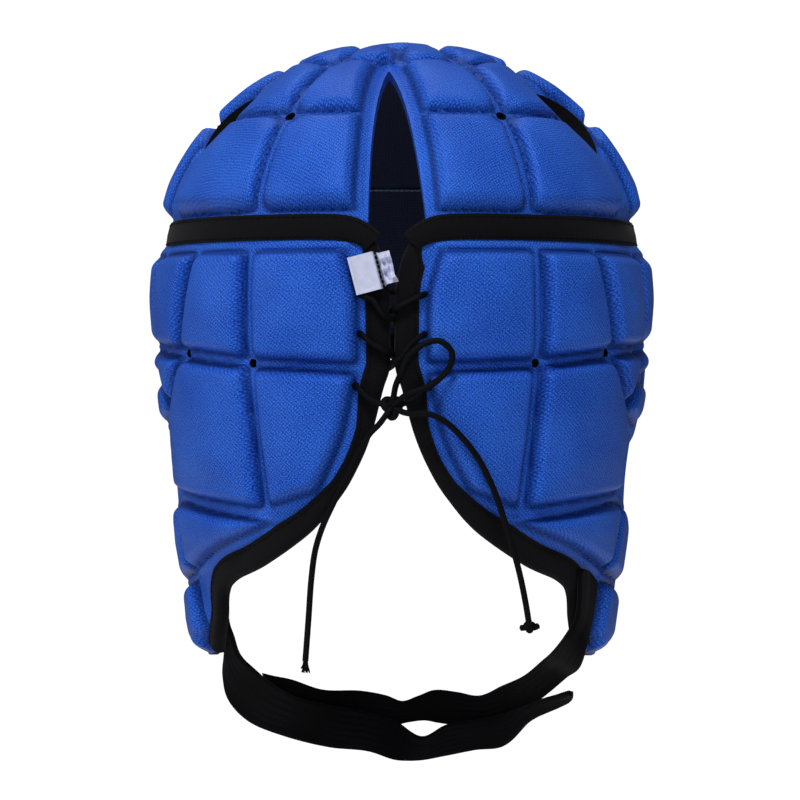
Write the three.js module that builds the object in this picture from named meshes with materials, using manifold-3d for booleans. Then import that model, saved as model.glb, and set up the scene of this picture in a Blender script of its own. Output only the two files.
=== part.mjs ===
// Soft padded rugby headgear (scrum cap): moulded foam panels, bound in black tape, laced at the
// back and held by a hook-and-loop chin strap. Millimetres, +Z up, the face towards +Y, the wearer's
// right towards +X. The origin is the inside top of the crown, where the top of the head bears.
import * as THREE from "three";
import Module from "manifold-3d";

const wasm = await Module();
wasm.setup();

// Driving dimensions of the head form: the inner face of the padding

const HALF_WIDTH = 84;
const BACK_DEPTH = 95;
const FRONT_DEPTH = 97;
const CROWN_RISE = 85;
const EQUATOR_Z = -CROWN_RISE;
const PROFILE_POWER = 2.2; // 2 is an ellipse, more is squarer, seen from the side
const PLAN_POWER = 2.15; // the same, seen from above
const TAPER = 0.15; // how fast the form narrows below its widest level
const TAPER_START = 40;

// Moulded foam laminate

const WALL = 3.5; // foam pressed thin in the channels
const PAD_RISE = 6.5; // pads stand this far above the channels
const PAD_CROWN = 0.7; // extra height at a pad's middle
const PAD_BEVEL = 5; // width of a pad's sloping side
const CHANNEL = 4.4; // width of the groove between two pads
const CORNER_CUT = 0.18; // share of a pad's side cut off at each corner
const LONG_SIDE = 48; // a pad's side longer than this is bent once, to follow the head
const PAD_ROOT = 2.1; // how deep a pad is rooted in the wall
const VENT_RADIUS = 1.7;
const VENT_SIDES = 5;
const EYELET_RADIUS = 2;
const EYELET_SIDES = 6;
const GAP = 0.3; // clearance between two pieces that touch

// Tapes

const BAND_Z = -62;
const BAND_WIDTH = 9.5;
const BAND_THICKNESS = 1.2;
const BAND_LIFT = 0.45; // clear of the faceted walls under it
const BAND_START = 4.2; // degrees, at the edge of the back gap
const BINDING_WIDTH = 8.5;
const BINDING_COVER = 0.9; // how far the folded tape stands proud of the wall, on both faces

// Chin strap

const STRAP_THICKNESS = 2;

// Lace

const LACE_RADIUS = 1.1;
const LACE_SIDES = 7;

const BLUE = { color: 0x2a55c8, roughness: 0.55, metalness: 0 };
const BLACK = { color: 0x101114, roughness: 0.8, metalness: 0 };
const WHITE = { color: 0xe8e8f2, roughness: 0.7, metalness: 0 };

const rad = THREE.MathUtils.degToRad;
const lerp = THREE.MathUtils.lerp;

// Head form

function planRadius(azimuth, width, back, front) {
  const side = Math.abs(Math.sin(rad(azimuth))) / width;
  const along = -Math.cos(rad(azimuth));
  const depth = along < 0 ? back : front;
  return (side ** PLAN_POWER + (Math.abs(along) / depth) ** PLAN_POWER) ** (-1 / PLAN_POWER);
}

// Distance from the axis at an azimuth from the back, a level and a height above the inner face.
function formRadius(azimuth, z, height) {
  let share = 1;
  let narrowing = 0;
  if (z > EQUATOR_Z) {
    const climb = Math.min(1, (z - EQUATOR_Z) / (CROWN_RISE + height));
    share = (1 - climb ** PROFILE_POWER) ** (1 / PROFILE_POWER);
  } else {
    const drop = EQUATOR_Z - z;
    narrowing = (TAPER * drop * drop) / (drop + TAPER_START);
  }
  const grow = height - narrowing;
  return share * planRadius(azimuth, HALF_WIDTH + grow, BACK_DEPTH + grow, FRONT_DEPTH + grow);
}

function polar(azimuth, radius, z) {
  return new THREE.Vector3(radius * Math.sin(rad(azimuth)), -radius * Math.cos(rad(azimuth)), z);
}

function sidePoint(azimuth, z, height) {
  return polar(azimuth, formRadius(azimuth, z, height), z);
}

// The same form by latitude, which stays even over the top: 0 at the widest level, 90 at the top.
function latitudeLevel(latitude, height) {
  return EQUATOR_Z + (CROWN_RISE + height) * Math.sin(rad(latitude)) ** (2 / PROFILE_POWER);
}

function crownPoint(azimuth, latitude, height) {
  const share = Math.cos(rad(latitude)) ** (2 / PROFILE_POWER);
  const wide = planRadius(azimuth, HALF_WIDTH + height, BACK_DEPTH + height, FRONT_DEPTH + height);
  return polar(azimuth, latitude >= 90 ? 0 : share * wide, latitudeLevel(latitude, height));
}

// Solids from triangles

function solidFrom(triangles) {
  const index = new Map();
  const vertProperties = [];
  const triVerts = [];
  const place = (p) => {
    const key = [p.x, p.y, p.z].map((v) => Math.round(v * 1e4)).join(" ");
    if (!index.has(key)) {
      index.set(key, index.size);
      vertProperties.push(p.x, p.y, p.z);
    }
    return index.get(key);
  };
  for (const [a, b, c] of triangles) {
    const corners = [place(a), place(b), place(c)];
    if (new Set(corners).size === 3) triVerts.push(...corners);
  }
  const mesh = (order) =>
    new wasm.Mesh({
      numProp: 3,
      vertProperties: new Float32Array(vertProperties),
      triVerts: new Uint32Array(order),
    });
  const made = new wasm.Manifold(mesh(triVerts));
  if (made.volume() > 0) return made;
  return new wasm.Manifold(mesh(triVerts.reverse()));
}

function solidFromGeometry(geometry) {
  const flat = geometry.index ? geometry.toNonIndexed() : geometry;
  const at = flat.getAttribute("position");
  const point = (i) => new THREE.Vector3().fromBufferAttribute(at, i);
  const triangles = [];
  for (let i = 0; i < at.count; i += 3) triangles.push([point(i), point(i + 1), point(i + 2)]);
  return solidFrom(triangles);
}

function geometryFrom(solid) {
  const { vertProperties, triVerts } = solid.getMesh();
  const geometry = new THREE.BufferGeometry();
  geometry.setAttribute("position", new THREE.BufferAttribute(new Float32Array(vertProperties), 3));
  geometry.setIndex(new THREE.BufferAttribute(new Uint32Array(triVerts), 1));
  const faceted = geometry.toNonIndexed();
  faceted.computeVertexNormals();
  return faceted;
}

function quad(a, b, c, d) {
  return [
    [a, b, c],
    [a, c, d],
  ];
}

// Joins rings of points into a closed skin, with a fan to a middle point at each end.
function loft(rings, firstMiddle, lastMiddle) {
  const count = rings[0].length;
  const triangles = [];
  for (let i = 0; i < count; i++) {
    const next = (i + 1) % count;
    for (let r = 0; r + 1 < rings.length; r++) {
      triangles.push(...quad(rings[r][i], rings[r][next], rings[r + 1][next], rings[r + 1][i]));
    }
    triangles.push([firstMiddle, rings[0][next], rings[0][i]]);
    triangles.push([lastMiddle, rings.at(-1)[i], rings.at(-1)[next]]);
  }
  return solidFrom(triangles);
}

function middleOf(points) {
  const sum = points.reduce((total, p) => total.add(p), new THREE.Vector3());
  return sum.divideScalar(points.length);
}

// A curved slab between two heights over a grid of columns and rows of the form.
function slab(columns, rows, pointAt, closed) {
  const at = (i, j, k) => pointAt(columns[i % columns.length], rows[j], k);
  const triangles = [];
  const spans = closed ? columns.length : columns.length - 1;
  const last = rows.length - 1;
  for (let i = 0; i < spans; i++) {
    for (let j = 0; j < last; j++) {
      triangles.push(...quad(at(i, j, 1), at(i + 1, j, 1), at(i + 1, j + 1, 1), at(i, j + 1, 1)));
      triangles.push(...quad(at(i, j, 0), at(i, j + 1, 0), at(i + 1, j + 1, 0), at(i + 1, j, 0)));
    }
    triangles.push(...quad(at(i, 0, 0), at(i + 1, 0, 0), at(i + 1, 0, 1), at(i, 0, 1)));
    triangles.push(...quad(at(i, last, 0), at(i, last, 1), at(i + 1, last, 1), at(i + 1, last, 0)));
  }
  if (!closed) {
    for (let j = 0; j < last; j++) {
      triangles.push(...quad(at(0, j, 0), at(0, j, 1), at(0, j + 1, 1), at(0, j + 1, 0)));
      triangles.push(...quad(at(spans, j, 0), at(spans, j + 1, 0), at(spans, j + 1, 1), at(spans, j, 1)));
    }
  }
  return solidFrom(triangles);
}

// A cutter: an outline on the form, drawn in to below the wall and out past the pads. A ring close to
// each face of the wall keeps the cut true there.
const CUT_HEIGHTS = [-8, -1, 6, 40];
const KEEP_HEIGHTS = [-60, -1, 6, 250];

function prism(outline, pointAt, heights) {
  const rings = heights.map((height) => outline.map((p) => pointAt(p.x, p.y, height)));
  const triangles = [];
  for (let r = 0; r + 1 < rings.length; r++) {
    outline.forEach((_, i) => {
      const next = (i + 1) % outline.length;
      triangles.push(...quad(rings[r][i], rings[r][next], rings[r + 1][next], rings[r + 1][i]));
    });
  }
  const [low, high] = [rings[0], rings.at(-1)];
  for (const [a, b, c] of THREE.ShapeUtils.triangulateShape(outline, [])) {
    triangles.push([low[a], low[c], low[b]], [high[a], high[b], high[c]]);
  }
  return solidFrom(triangles);
}

// A round hole drilled through the wall, with a few sides.
function drill(chart, azimuth, level, radiusX, radiusY, sides) {
  const middle = chart.flatten(azimuth, level);
  const outline = [];
  for (let i = 0; i < sides; i++) {
    const turn = (2 * Math.PI * (i + 0.5)) / sides;
    const x = middle.x + radiusX * Math.cos(turn);
    const y = middle.y + radiusY * Math.sin(turn);
    const spot = chart.unflatten(x, y);
    outline.push(new THREE.Vector2(spot.azimuth, spot.level));
  }
  return prism(outline, chart.pointAt, CUT_HEIGHTS);
}

// Flat charts of a stretch of the form, in millimetres about one meridian, to lay out pads on

function sideChart(azimuth0) {
  const scale = (z) => rad(1) * formRadius(azimuth0, z, WALL);
  return {
    flatten: (azimuth, z) => new THREE.Vector2((azimuth - azimuth0) * scale(z), z),
    unflatten: (x, y) => ({ azimuth: azimuth0 + x / scale(y), level: y }),
    pointAt: sidePoint,
  };
}

const ARC_STEPS = 90;

function crownChart(azimuth0) {
  const along = [0];
  for (let i = 1; i <= ARC_STEPS; i++) {
    const step = crownPoint(azimuth0, i, WALL).distanceTo(crownPoint(azimuth0, i - 1, WALL));
    along.push(along[i - 1] + step);
  }
  const distance = (latitude) => {
    const i = Math.min(ARC_STEPS - 1, Math.floor(latitude));
    return lerp(along[i], along[i + 1], latitude - i);
  };
  const latitudeAt = (y) => {
    let i = 0;
    while (i < ARC_STEPS - 1 && along[i + 1] < y) i++;
    return i + (y - along[i]) / (along[i + 1] - along[i]);
  };
  const scale = (latitude) => {
    const p = crownPoint(azimuth0, Math.min(latitude, 89), WALL);
    return rad(1) * Math.hypot(p.x, p.y);
  };
  return {
    flatten: (azimuth, latitude) =>
      new THREE.Vector2((azimuth - azimuth0) * scale(latitude), distance(latitude)),
    unflatten: (x, y) => {
      const latitude = latitudeAt(y);
      return { azimuth: azimuth0 + x / scale(latitude), level: latitude };
    },
    pointAt: crownPoint,
  };
}

// The top of the crown seen from above, for the pad that lies across the pole.
const topChart = {
  flatten: (x, y) => new THREE.Vector2(x, y),
  unflatten: (x, y) => ({ azimuth: x, level: y }),
  pointAt: (x, y, height) => {
    const azimuth = THREE.MathUtils.radToDeg(Math.atan2(x, -y));
    const wide = planRadius(azimuth, HALF_WIDTH + height, BACK_DEPTH + height, FRONT_DEPTH + height);
    const share = Math.hypot(x, y) / wide;
    const rise = (1 - share ** PROFILE_POWER) ** (1 / PROFILE_POWER);
    return new THREE.Vector3(x, y, EQUATOR_Z + (CROWN_RISE + height) * rise);
  },
};

// Pads

// A convex outline drawn in by a distance, with each corner cut off and each long side bent once.
function drawnIn(corners, distance) {
  const count = corners.length;
  const turn = THREE.ShapeUtils.isClockWise(corners) ? -1 : 1;
  const sides = corners.map((p, i) => {
    const along = corners[(i + 1) % count].clone().sub(p).normalize();
    const inward = new THREE.Vector2(-along.y, along.x).multiplyScalar(turn);
    return { start: p.clone().addScaledVector(inward, distance), along };
  });
  const moved = sides.map((side, i) => {
    const before = sides[(i + count - 1) % count];
    const cross = before.along.cross(side.along);
    const reach = side.start.clone().sub(before.start).cross(side.along) / cross;
    return before.start.clone().addScaledVector(before.along, reach);
  });
  const points = [];
  moved.forEach((p, i) => {
    const next = moved[(i + 1) % count];
    const long = corners[i].distanceTo(corners[(i + 1) % count]) > LONG_SIDE;
    const shares = long ? [CORNER_CUT, 0.5, 1 - CORNER_CUT] : [CORNER_CUT, 1 - CORNER_CUT];
    for (const share of shares) points.push(p.clone().lerp(next, share));
  });
  return points;
}

// Each ring of a pad: how far it is drawn in and how high it stands.
const PAD_RINGS = [
  { inset: 0, height: WALL - PAD_ROOT },
  { inset: PAD_BEVEL, height: WALL + PAD_RISE },
];

function pad(chart, corners) {
  const flat = corners.map(([azimuth, level]) => chart.flatten(azimuth, level));
  const lift = (p, height) => {
    const spot = chart.unflatten(p.x, p.y);
    return chart.pointAt(spot.azimuth, spot.level, height);
  };
  const outlines = PAD_RINGS.map((ring) => drawnIn(flat, CHANNEL / 2 + ring.inset));
  const rings = PAD_RINGS.map((ring, i) => outlines[i].map((p) => lift(p, ring.height)));
  const middle = outlines.at(-1).reduce((sum, p) => sum.add(p), new THREE.Vector2());
  middle.divideScalar(outlines[0].length);
  return loft(
    rings,
    lift(middle, PAD_RINGS[0].height),
    lift(middle, WALL + PAD_RISE + PAD_CROWN),
  );
}

function fuse(solids) {
  return solids.reduce((joined, next) => joined.add(next));
}

function cutAll(solid, cutters) {
  return cutters.reduce((left, cutter) => left.subtract(cutter), solid);
}

const group = new THREE.Group();

function addPiece(name, solid, finish) {
  const mesh = new THREE.Mesh(geometryFrom(solid), new THREE.MeshStandardMaterial(finish));
  mesh.name = name;
  group.add(mesh);
}

// Crown: petals that share the top, parted by slits, with three rows of pads

const SLIT_AZIMUTHS = [75, 120];
const SLIT_LATITUDES = { low: 31, high: 58 };
const SLIT_HALF_WIDTH = 7;
const SLIT_MARGIN = 6; // degrees from a slit's line to the pads beside it
const BACK_SLIT = { apexLatitude: 66, halfWidth: 9.5, fullAt: 26, curve: 0.9, apexShift: -3, footShift: 1.7 };
const BACK_SLIT_LATITUDES = [2, 14, 26, 38, 50, 66];
const CROWN_ROWS = { bottom: 17.5, middle: 42.5, top: 65.5, hub: 80.5 };
const BACK_EDGE = { bottom: 9.5, middle: 8, top: 4 }; // inner edge of the back pads, beside the V
const FRONT_EDGE = 160; // the pads over the forehead begin here
const PETAL_COLUMNS = [30, 75, 98, 120, FRONT_EDGE];
const FRONT_CORNER_LATITUDE = 79.5; // upper corner of the small pad beside the tongue
const VENT_AZIMUTHS = [30, 98];
const TONGUE = { tip: -17, shoulder: -5, halfWidth: 14, front: 41 };

function lensOutline(azimuth) {
  const chart = crownChart(azimuth);
  const steps = 5;
  const outline = [];
  for (let i = 0; i <= 2 * steps; i++) {
    const side = i <= steps ? 1 : -1;
    const share = side > 0 ? i / steps : 2 - i / steps;
    const latitude = lerp(SLIT_LATITUDES.low, SLIT_LATITUDES.high, share);
    const half = side * SLIT_HALF_WIDTH * Math.sin(Math.PI * share);
    const spot = chart.unflatten(half, chart.flatten(azimuth, latitude).y);
    if (i < 2 * steps) outline.push(new THREE.Vector2(spot.azimuth, latitude));
  }
  return prism(outline, crownPoint, CUT_HEIGHTS);
}

function backSlit() {
  const chart = crownChart(0);
  const { apexLatitude, halfWidth, fullAt, curve, apexShift, footShift } = BACK_SLIT;
  const edge = (side) =>
    BACK_SLIT_LATITUDES.map((latitude) => {
      const share = Math.min(1, (apexLatitude - latitude) / (apexLatitude - fullAt));
      const x = lerp(apexShift, footShift, share) + side * halfWidth * share ** curve;
      return new THREE.Vector2(chart.unflatten(x, chart.flatten(0, latitude).y).azimuth, latitude);
    });
  return prism([...edge(1), ...edge(-1).reverse().slice(1)], crownPoint, CUT_HEIGHTS);
}

function crownPads(side) {
  const { bottom, middle, top, hub } = CROWN_ROWS;
  const pads = [];
  const between = (first, last, low, high, firstHigh = first) => {
    const chart = crownChart((side * (first + last)) / 2);
    pads.push(
      pad(chart, [
        [side * first, low],
        [side * last, low],
        [side * last, high],
        [side * firstHigh, high],
      ]),
    );
  };
  const columns = PETAL_COLUMNS;
  between(BACK_EDGE.bottom, columns[0], bottom, middle, BACK_EDGE.middle);
  between(BACK_EDGE.middle, columns[0], middle, top, BACK_EDGE.top);
  between(0, columns[0], top, hub);
  const margin = (azimuth) => (SLIT_AZIMUTHS.includes(azimuth) ? SLIT_MARGIN : 0);
  for (let i = 0; i + 1 < columns.length; i++) {
    const first = columns[i] + margin(columns[i]);
    const last = columns[i + 1] - margin(columns[i + 1]);
    between(first, last, bottom, middle);
    between(first, last, middle, top);
    if (columns[i + 1] < FRONT_EDGE) between(columns[i], columns[i + 1], top, hub);
  }
  const corner = columns.at(-2);
  pads.push(
    pad(crownChart((side * (corner + FRONT_EDGE)) / 2), [
      [side * corner, top],
      [side * FRONT_EDGE, top],
      [side * corner, FRONT_CORNER_LATITUDE],
    ]),
  );
  return pads;
}

function frontPads() {
  const { bottom, middle, top } = CROWN_ROWS;
  const chart = crownChart(180);
  const [first, last] = [FRONT_EDGE, 360 - FRONT_EDGE];
  const row = (low, high) => pad(chart, [[first, low], [last, low], [last, high], [first, high]]);
  const { tip, shoulder, halfWidth, front } = TONGUE;
  const tongue = pad(topChart, [
    [0, tip],
    [halfWidth, shoulder],
    [halfWidth, front],
    [-halfWidth, front],
    [-halfWidth, shoulder],
  ]);
  return [row(bottom, middle), row(middle, top), tongue];
}

const CROWN_WALL_LATITUDES = [30, 42.5, 54, 65.5, 78, 90];
const COLUMN_STEP = 15; // degrees

function crown() {
  const columns = Array.from({ length: 360 / COLUMN_STEP }, (_, i) => i * COLUMN_STEP);
  const rimZ = BAND_Z + GAP / 2;
  const rows = ["rim", ...CROWN_WALL_LATITUDES];
  const wallPoint = (azimuth, row, layer) => {
    const height = layer * WALL;
    return row === "rim" ? sidePoint(azimuth, rimZ, height) : crownPoint(azimuth, row, height);
  };
  const wall = slab(columns, rows, wallPoint, true);
  const pads = [...crownPads(1), ...crownPads(-1), ...frontPads()];
  const cutters = [backSlit()];
  for (const side of [1, -1]) {
    for (const azimuth of SLIT_AZIMUTHS) cutters.push(lensOutline(side * azimuth));
    for (const azimuth of VENT_AZIMUTHS) {
      const chart = crownChart(side * azimuth);
      for (const latitude of [CROWN_ROWS.middle, CROWN_ROWS.top]) {
        cutters.push(drill(chart, side * azimuth, latitude, VENT_RADIUS, VENT_RADIUS, VENT_SIDES));
      }
    }
  }
  return cutAll(fuse([wall, ...pads]), cutters);
}

addPiece("crown", crown(), BLUE);

// Edges of the lower panels, on the wearer's right: azimuth from the back and level

const BACK_EDGE_LINE = [
  { place: "gap top", azimuth: 3.6, z: -67.05 },
  { place: "gap", azimuth: 2, z: -74 },
  { place: "waist", azimuth: 1, z: -84 },
  { place: "waist", azimuth: 0.95, z: -97 },
  { place: "waist", azimuth: 0.95, z: -110 },
  { place: "nape", azimuth: 2.4, z: -122 },
  { place: "nape", azimuth: 4.5, z: -134 },
  { place: "nape", azimuth: 7.5, z: -146 },
  { place: "nape", azimuth: 12, z: -157.5 },
  { place: "nape", azimuth: 20, z: -170.5 },
  { place: "nape", azimuth: 33, z: -182 },
  { place: "corner", azimuth: 46, z: -188.5 },
  { place: "corner", azimuth: 51.5, z: -193.5 },
  { place: "flap rear", azimuth: 54, z: -202 },
  { place: "flap rear", azimuth: 57.5, z: -209 },
  { place: "flap heel", azimuth: 62, z: -215.5 },
];
const FLAP_BOTTOM = [
  { azimuth: 74, z: -217 },
  { azimuth: 85, z: -217 },
  { azimuth: 95, z: -215 },
];
const FACE_EDGE_LINE = [
  { place: "flap toe", azimuth: 106, z: -212.5 },
  { place: "cheek", azimuth: 113, z: -203 },
  { place: "cheek", azimuth: 119, z: -186 },
  { place: "cheek", azimuth: 123, z: -166 },
  { place: "temple", azimuth: 126, z: -146 },
  { place: "temple", azimuth: 129, z: -129 },
  { place: "temple", azimuth: 134, z: -116.5 },
  { place: "brow", azimuth: 144, z: -109 },
  { place: "brow", azimuth: 160, z: -106.5 },
  { place: "brow", azimuth: 180, z: -106 },
];
const FACE_LINE = [
  ...FACE_EDGE_LINE,
  ...FACE_EDGE_LINE.slice(0, -1)
    .reverse()
    .map((row) => ({ azimuth: 360 - row.azimuth, z: row.z })),
];
const SEAM_AZIMUTH = 130; // between a side panel and the brow panel
const SEAM_HALF_GAP = 0.1; // degrees
const STEPS_PER_SPAN = 2;

function edgeCurve(line) {
  return new THREE.SplineCurve(line.map((row) => new THREE.Vector2(row.azimuth, row.z)));
}

// A point of the panel, a distance in from its edge, at a share of the way along the edge.
function inFromEdge(curve, share, distance) {
  const at = curve.getPoint(share);
  const scale = rad(1) * formRadius(at.x, at.y, WALL);
  const tangent = curve.getTangent(share);
  const along = new THREE.Vector2(tangent.x * scale, tangent.y).normalize();
  return new THREE.Vector2(at.x - (distance * along.y) / scale, at.y + distance * along.x);
}

function edgeShares(line) {
  const steps = (line.length - 1) * STEPS_PER_SPAN;
  return Array.from({ length: steps + 1 }, (_, i) => i / steps);
}

function insetLine(line, distance) {
  const curve = edgeCurve(line);
  return edgeShares(line).map((share) => inFromEdge(curve, share, distance));
}

// Binding: tape folded over the pressed edge of a panel

const BINDING_FOLD = 1.5;
const BINDING_SECTION = [
  { inset: BINDING_WIDTH, height: -BINDING_COVER },
  { inset: BINDING_FOLD, height: -BINDING_COVER },
  { inset: 0, height: WALL / 2 },
  { inset: BINDING_FOLD, height: WALL + BINDING_COVER },
  { inset: BINDING_WIDTH, height: WALL + BINDING_COVER },
];

function bindingRings(line, turn) {
  const curve = edgeCurve(line);
  return edgeShares(line).map((share) =>
    BINDING_SECTION.map(({ inset, height }) => {
      const spot = inFromEdge(curve, share, inset);
      return sidePoint(turn(spot.x), spot.y, height);
    }),
  );
}

function sweep(rings) {
  return loft(rings, middleOf(rings[0]), middleOf(rings.at(-1)));
}

const toSide = (side) => (azimuth) => side * azimuth;

for (const [name, side] of [["left", -1], ["right", 1]]) {
  addPiece(`back_binding_${name}`, sweep(bindingRings(BACK_EDGE_LINE, toSide(side))), BLACK);
}
addPiece("face_binding", sweep(bindingRings(FACE_LINE, toSide(1))), BLACK);

// Side panels: channels meet at named junctions, and each pad fills one cell between them

const JUNCTIONS = {
  bandGap: [11, -70],
  gapUpper: [8.6, -86],
  gapLower: [8.6, -112],
  bandBack: [31, -69.5],
  bandMid: [48, -69.5],
  bandSide: [69, -69.5],
  bandEar: [95, -69.5],
  bandSeam: [129, -69.5],
  midBack: [31.5, -110],
  midSide: [55.5, -106],
  midEar: [76, -104],
  midFront: [97, -102],
  midSeam: [128, -101],
  napeUpper: [12, -137],
  napeLower: [19.5, -153],
  napeBack: [29.5, -161],
  behindUpper: [66, -128],
  behindLower: [70, -161],
  earTopRear: [72.5, -115],
  earTopFront: [97, -115],
  earRear: [77.5, -134],
  earFront: [95, -126],
  earBottom: [92, -168],
  templeLow: [120, -118],
  cheekHigh: [116, -161],
  cheekEar: [107, -146],
  flapRear: [67, -184],
  flapMid: [91, -193],
  flapFront: [112, -189],
  flapHeel: [71, -213.5],
  flapSole: [90, -216.5],
  flapToe: [101, -211],
};
const SIDE_PADS = {
  back: ["bandGap", "bandBack", "midBack", "gapLower", "gapUpper"],
  backSide: ["bandBack", "bandMid", "midSide", "midBack"],
  side: ["bandMid", "bandSide", "midEar", "midSide"],
  aboveEar: ["bandSide", "bandEar", "midFront", "midEar"],
  temple: ["bandEar", "bandSeam", "midSeam", "midFront"],
  nape: ["gapLower", "midBack", "napeBack", "napeLower", "napeUpper"],
  backLow: ["midBack", "midSide", "behindUpper", "behindLower", "napeBack"],
  wedge: ["midSide", "midEar", "behindUpper"],
  earUpper: ["midEar", "midFront", "earTopFront", "earTopRear"],
  earRear: ["earTopRear", "earTopFront", "earFront", "earRear", "behindUpper"],
  earFront: ["midFront", "midSeam", "templeLow", "cheekEar", "earFront"],
  mastoid: ["napeBack", "behindLower", "flapRear"],
  flapBack: ["behindLower", "earBottom", "flapMid", "flapRear"],
  flapFront: ["earBottom", "cheekHigh", "flapFront", "flapMid"],
  flapHeel: ["flapRear", "flapMid", "flapSole", "flapHeel"],
  flapToe: ["flapMid", "flapFront", "flapToe", "flapSole"],
};
const SIDE_VENTS = ["midBack", "midSide", "midEar"];
const EYELETS = [
  { azimuth: 7.5, z: -86 },
  { azimuth: 7.4, z: -100 },
  { azimuth: 8.6, z: -118 },
];
const EAR_HOLE = { azimuth: 92, z: -146, halfWidth: 13.5, halfHeight: 16, sides: 10 };
const SIDE_LEVELS = [BAND_Z - GAP / 2, -88, -125, -170, -222];
const TAB_LEVEL = -58; // the outline runs up past the wall's top edge

function sideOutline() {
  const inset = BINDING_WIDTH + GAP;
  const backLine = insetLine(BACK_EDGE_LINE, inset);
  const top = BACK_EDGE_LINE[0];
  const tabEdge = BAND_START + GAP;
  const tabFoot = top.z + GAP;
  const faceLine = insetLine(FACE_LINE, inset);
  const faceHalf = faceLine.slice(0, (faceLine.length + 1) / 2);
  return [
    new THREE.Vector2(tabEdge, TAB_LEVEL),
    new THREE.Vector2(tabEdge, tabFoot),
    new THREE.Vector2(backLine[0].x, backLine[0].y + 2 * GAP),
    ...backLine.slice(1),
    ...FLAP_BOTTOM.map((row) => new THREE.Vector2(row.azimuth, row.z)),
    ...faceHalf,
    new THREE.Vector2(faceHalf.at(-1).x, TAB_LEVEL),
  ];
}

function columnsBetween(first, last, step) {
  const inner = [];
  for (let a = 0; a <= 360; a += step) {
    if (a > first + 1 && a < last - 1) inner.push(a);
  }
  return [first, ...inner, last];
}

function sidePanel(side) {
  const columns = columnsBetween(0, SEAM_AZIMUTH - SEAM_HALF_GAP, COLUMN_STEP);
  const turned = (azimuth, z, height) => sidePoint(side * azimuth, z, height);
  const wall = slab(columns, SIDE_LEVELS, (a, z, layer) => turned(a, z, layer * WALL), false);
  const kept = wall.intersect(prism(sideOutline(), turned, KEEP_HEIGHTS));
  const pads = Object.values(SIDE_PADS).map((names) => {
    const corners = names.map((name) => JUNCTIONS[name]);
    const middle = corners.reduce((sum, [azimuth]) => sum + azimuth, 0) / corners.length;
    return pad(sideChart(side * middle), corners.map(([azimuth, z]) => [side * azimuth, z]));
  });
  const hole = (azimuth, z, radiusX, radiusY, sides) =>
    drill(sideChart(side * azimuth), side * azimuth, z, radiusX, radiusY, sides);
  const { azimuth, z, halfWidth, halfHeight, sides } = EAR_HOLE;
  return cutAll(fuse([kept, ...pads]), [
    hole(azimuth, z, halfWidth, halfHeight, sides),
    ...SIDE_VENTS.map((name) => hole(...JUNCTIONS[name], VENT_RADIUS, VENT_RADIUS, VENT_SIDES)),
    ...EYELETS.map((row) => hole(row.azimuth, row.z, EYELET_RADIUS, EYELET_RADIUS, EYELET_SIDES)),
  ]);
}

addPiece("side_panel_left", sidePanel(-1), BLUE);
addPiece("side_panel_right", sidePanel(1), BLUE);

// Brow panel, with a pad over each eye and one between

const BROW_PAD_AZIMUTHS = [131, 163, 197, 229];
const BROW_PAD_TOP = -69.5;
const BROW_PAD_BOTTOM = -97;

function browPanel() {
  const inset = BINDING_WIDTH + GAP;
  const faceLine = insetLine(FACE_LINE, inset);
  const bottomAt = (azimuth) => {
    const next = faceLine.findIndex((p) => p.x >= azimuth);
    const [a, b] = [faceLine[next - 1], faceLine[next]];
    return lerp(a.y, b.y, (azimuth - a.x) / (b.x - a.x));
  };
  const first = SEAM_AZIMUTH + SEAM_HALF_GAP;
  const last = 360 - first;
  const inner = faceLine.map((p) => p.x).filter((azimuth) => azimuth > first && azimuth < last);
  const columns = [first, ...inner, last];
  const top = BAND_Z - GAP / 2;
  const at = (azimuth, share, layer) =>
    sidePoint(azimuth, lerp(bottomAt(azimuth), top, share), layer * WALL);
  const pads = [];
  for (let i = 0; i + 1 < BROW_PAD_AZIMUTHS.length; i++) {
    const [a, b] = [BROW_PAD_AZIMUTHS[i], BROW_PAD_AZIMUTHS[i + 1]];
    const corners = [[a, BROW_PAD_BOTTOM], [b, BROW_PAD_BOTTOM], [b, BROW_PAD_TOP], [a, BROW_PAD_TOP]];
    pads.push(pad(sideChart((a + b) / 2), corners));
  }
  return fuse([slab(columns, [0, 0.5, 1], at, false), ...pads]);
}

addPiece("brow_panel", browPanel(), BLUE);

// Seam band over the joint of the crown and the lower panels

function seamBand() {
  const levels = [BAND_Z - BAND_WIDTH / 2, BAND_Z + BAND_WIDTH / 2];
  const at = (azimuth, z, layer) => sidePoint(azimuth, z, WALL + BAND_LIFT + layer * BAND_THICKNESS);
  return slab(columnsBetween(BAND_START, 360 - BAND_START, COLUMN_STEP / 2), levels, at, false);
}

addPiece("seam_band", seamBand(), BLACK);

// Chin strap: two soft ribbons, each between an upper and a lower edge, the left one behind the right one.
// The left root lies inside its flap and the right root outside, over the binding.

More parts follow.
